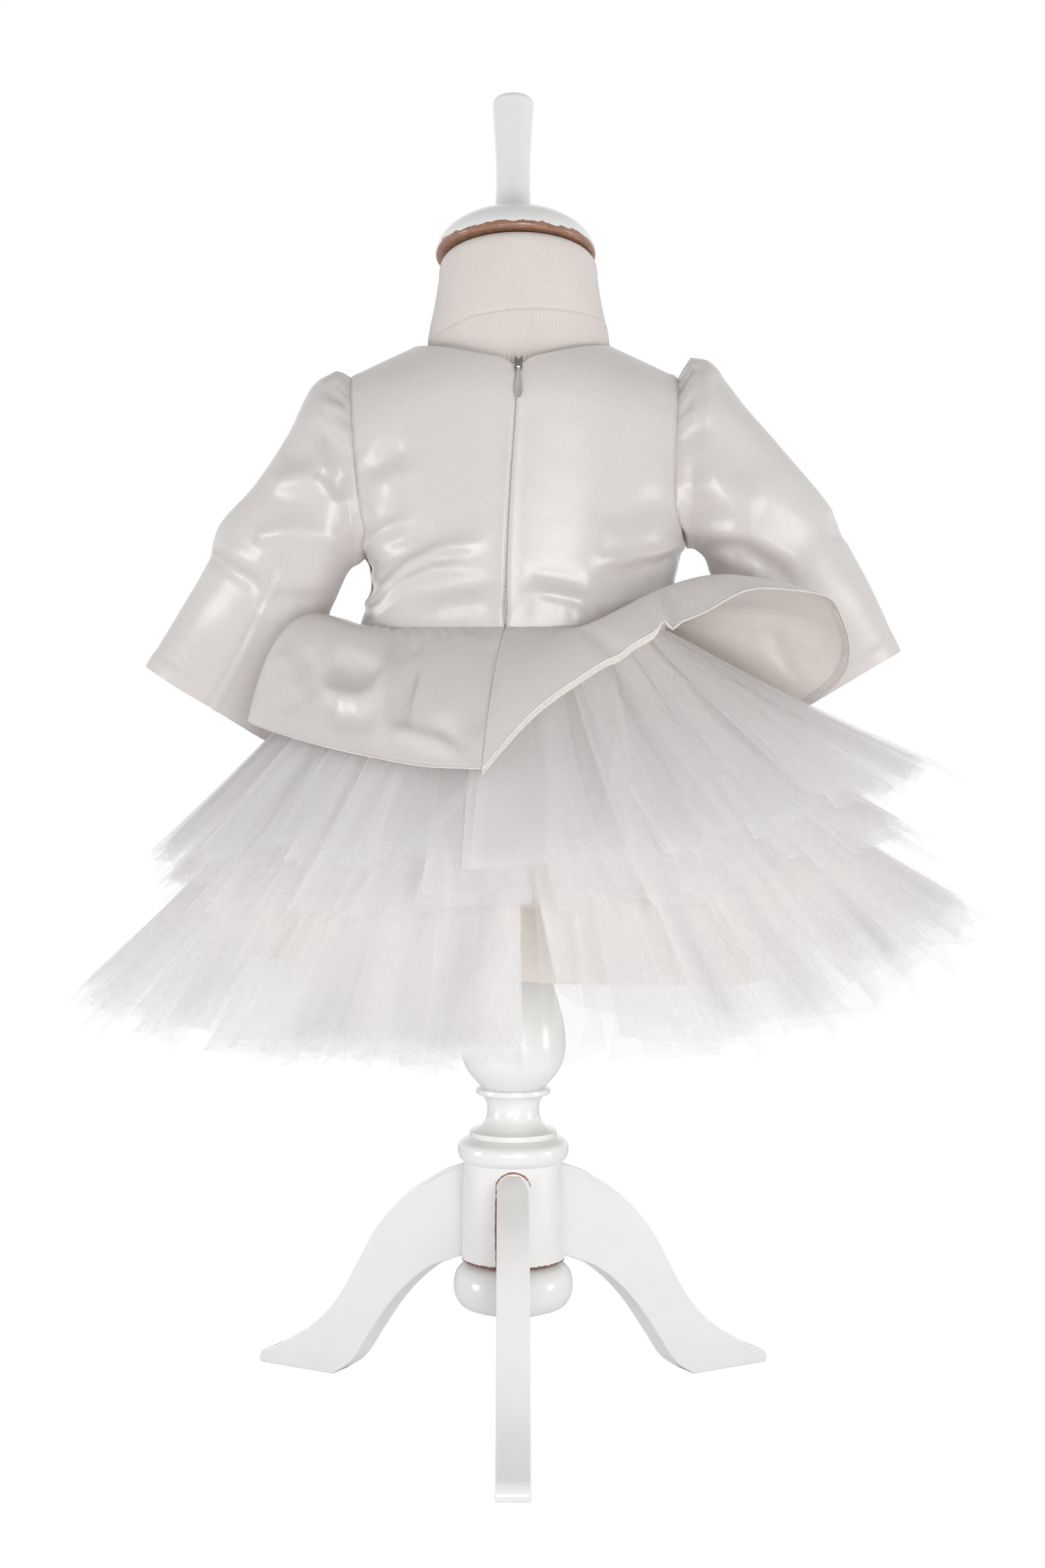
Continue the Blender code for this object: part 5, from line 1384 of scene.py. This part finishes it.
def rodRings(start, end, radius, sides=12):
    start, end = np.array(start, float), np.array(end, float)
    line = np.linspace(start, end, 4)
    return tube(line, np.tile([0.0, -1.0, 0.05], (4, 1)), radius, sides)


sliderHalf = [(0.0, -4.5), (1.2, -4.5), (1.75, -4.2), (1.9, -3.2), (1.95, -1.2), (2.15, 0.2), (2.35, 1.4),
              (2.4, 2.6), (2.3, 4.0), (1.95, 4.5), (1.3, 4.35), (1.0, 3.4), (0.55, 2.9), (0.0, 2.75)]
sliderOutline = sliderHalf + [(-x, z) for x, z in reversed(sliderHalf[1:-1])]
sliderRings = turnedPlate(sliderOutline, [(0.35, -2.2), (0.1, -2.1), (0.0, -1.85), (0.0, -1.0), (0.12, -0.75),
                                          (0.35, -0.65)])
sliderParts = [sliderRings]
for side in (-1, 1):
    sliderParts.append(rodRings((1.62 * side, -2.3, -4.0), (1.62 * side, -2.3, -1.6), 0.42))
    sliderParts.append(rodRings((1.62 * side, -3.3, -3.0), (1.62 * side, -2.2, -3.0), 0.62))
sliderTurn = np.array(Matrix.Rotation(math.radians(zipSizes["sliderTilt"]), 3, "X"))
sliderOrigin = np.array(zipSizes["hinge"]) - sliderTurn @ np.array([0.0, -3.3, -3.0])
castPiece("zipSlider", sliderParts, zipSliderMetal, "zip_slider", restBody, sliderOrigin,
          zipSizes["sliderTilt"])


def pullHalf(down):
    narrow = 1.0 + 1.35 * ease(0.0, 0.72, down)
    rounded = 2.35 * np.sqrt(np.maximum(1 - ((down - 0.72) / 0.28) ** 2, 0))
    return np.where(down < 0.72, narrow, rounded)


pullDowns = np.concatenate([np.linspace(0, 0.72, 12), 0.72 + 0.28 * np.sin(np.linspace(0.1, np.pi / 2, 12))])
pullSide = [(pullHalf(down), -19.0 * down) for down in pullDowns]
pullOutline = list(reversed(pullSide + [(-x, z) for x, z in reversed(pullSide[:-1])]))
pullRings = turnedPlate(pullOutline, [(0.75, -0.32), (0.6, -0.42), (0.3, -0.45), (0.08, -0.36), (0.0, -0.2),
                                      (0.0, 0.2), (0.08, 0.36), (0.3, 0.45)])
castPiece("zipPull", [pullRings, rodRings((-0.95, 0, 0), (0.95, 0, 0), 0.8)], zipMetal, "zip_pull",
          tabBody, zipSizes["hinge"], zipSizes["pullTilt"])

# Two short rows of stitches hold the tape's foot, one on each side of the seam
footRows = []
for side in (-1, 1):
    near = (zipLine[:, 2] > 450) & (zipLine[:, 2] < 472)
    footRows.append((zipLine[near] + np.array([side * 2.7, -0.35, 0.0]), zipOut[near]))
footStitches = repeatAlong("zipFootStitches", footRows, 2.1, (1.5, 0.4, 0.3), thread, 5)
print("zip made")


# Flat sizes of the sheets in metres. The sewn pieces' are estimates. They are worked out from its own mesh, so
# they follow the built form and don't test it, and they leave out the loose strips, which this loop only
# gathers for each tier's first layer.

for piece, flat in tulle:
    loose = []
    if piece.name.endswith("1"):
        loose = [strays[piece.name[5:-1]]]
        loose += [strays["Band"]] if piece.name == "tulleBottom1" else []


# Floor, light and camera

floorMesh = bpy.data.meshes.new("floor")
floorMesh.from_pydata([(-40, -40, 0), (40, -40, 0), (40, 40, 0), (-40, 40, 0)], [], [(0, 1, 2, 3)])
floor = bpy.data.objects.new("floor", floorMesh)
bpy.context.scene.collection.objects.link(floor)
floorPaint, floorTree, floorShader = newMaterial("paleBackdrop")
# A lit white sweep: it shows as plain white and still takes part in the light round the object
fill(floorTree, floorShader, {"Base Color": linearColour("#F2F2F2"), "Roughness": 0.9,
                              "Specular IOR Level": 0.1})
floorGlow = addNode(floorTree, "ShaderNodeEmission", {"Color": (1, 1, 1, 1), "Strength": 1.0})
floorRay = addNode(floorTree, "ShaderNodeLightPath")
floorMix = addNode(floorTree, "ShaderNodeMixShader", {}, {0: floorRay.outputs["Is Camera Ray"],
                                                          1: floorShader.outputs[0], 2: floorGlow.outputs[0]})
surface(floorTree, floorMix)
floorMesh.materials.append(floorPaint)

world = bpy.data.worlds.new("softWhiteRoom")
bpy.context.scene.world = world
world.use_nodes = True
roomTree = world.node_tree
roomTree.nodes.clear()
roomSeen = addNode(roomTree, "ShaderNodeBackground", {"Color": (1, 1, 1, 1), "Strength": 1.0})
# The sweep behind and above the object is lit brighter than the room behind the camera
direction = addNode(roomTree, "ShaderNodeTexCoord")
towards = addNode(roomTree, "ShaderNodeSeparateXYZ", {}, {"Vector": direction.outputs["Generated"]})
sweep = mapRange(roomTree, towards.outputs["Y"], -1.0, 0.7, 0.42, 1.3)
ceiling = mapRange(roomTree, towards.outputs["Z"], -0.3, 0.9, 1.15, 0.62)
roomLevel = calculate(roomTree, "MULTIPLY", sweep, ceiling)
roomLight = addNode(roomTree, "ShaderNodeBackground", {"Color": (1, 1, 1, 1)}, {"Strength": roomLevel})
whichRay = addNode(roomTree, "ShaderNodeLightPath")
roomMix = addNode(roomTree, "ShaderNodeMixShader", {}, {0: whichRay.outputs["Is Camera Ray"],
                                                        1: roomLight.outputs[0], 2: roomSeen.outputs[0]})
addNode(roomTree, "ShaderNodeOutputWorld", {}, {"Surface": roomMix.outputs[0]})


def softLight(name, place, aim, width, height, power):
    lamp = bpy.data.lights.new(name, "AREA")
    lamp.shape = "RECTANGLE"
    lamp.size, lamp.size_y, lamp.energy = width, height, power
    thing = bpy.data.objects.new(name, lamp)
    bpy.context.scene.collection.objects.link(thing)
    thing.location = place
    thing.rotation_euler = (Vector(aim) - Vector(place)).to_track_quat("-Z", "Y").to_euler()


softLight("frontBox", (0.35, -1.6, 0.4), (0, 0, 0.36), 0.5, 0.6, 7.2)
softLight("leftBox", (-1.4, -0.35, 0.15), (0, 0, 0.35), 0.4, 0.6, 5.0)
softLight("rightBox", (1.4, -0.35, 0.15), (0, 0, 0.35), 0.4, 0.6, 3.8)
softLight("lowBox", (0.0, -1.2, 0.12), (0, 0, 0.28), 1.2, 0.2, 4.0)

# The distance and the lens are estimates. The object's middle is at pixel 770 of a photo 1568 by 2352.
cameraSettings = {"place": (0, -1.300, 0.386), "downwards": 0.9, "lens": 50.5, "sensorHeight": 36}
photo = {"height": 2352, "middle": 784, "objectMiddle": 770}
cameraData = bpy.data.cameras.new("camera")
cameraData.lens = cameraSettings["lens"]
cameraData.sensor_fit = "VERTICAL"
cameraData.sensor_height = cameraSettings["sensorHeight"]
cameraData.shift_x = (photo["middle"] - photo["objectMiddle"]) / photo["height"]
camera = bpy.data.objects.new("camera", cameraData)
camera.location = cameraSettings["place"]
camera.rotation_euler = (math.radians(90 - cameraSettings["downwards"]), 0, 0)
bpy.context.scene.collection.objects.link(camera)
bpy.context.scene.camera = camera
bpy.context.scene.view_settings.view_transform = "Standard"
# The sheer layers of tulle lie one behind the other, more of them than the usual limit
bpy.context.scene.cycles.transparent_max_bounces = 20

bpy.context.view_layer.update()
print("scene made")
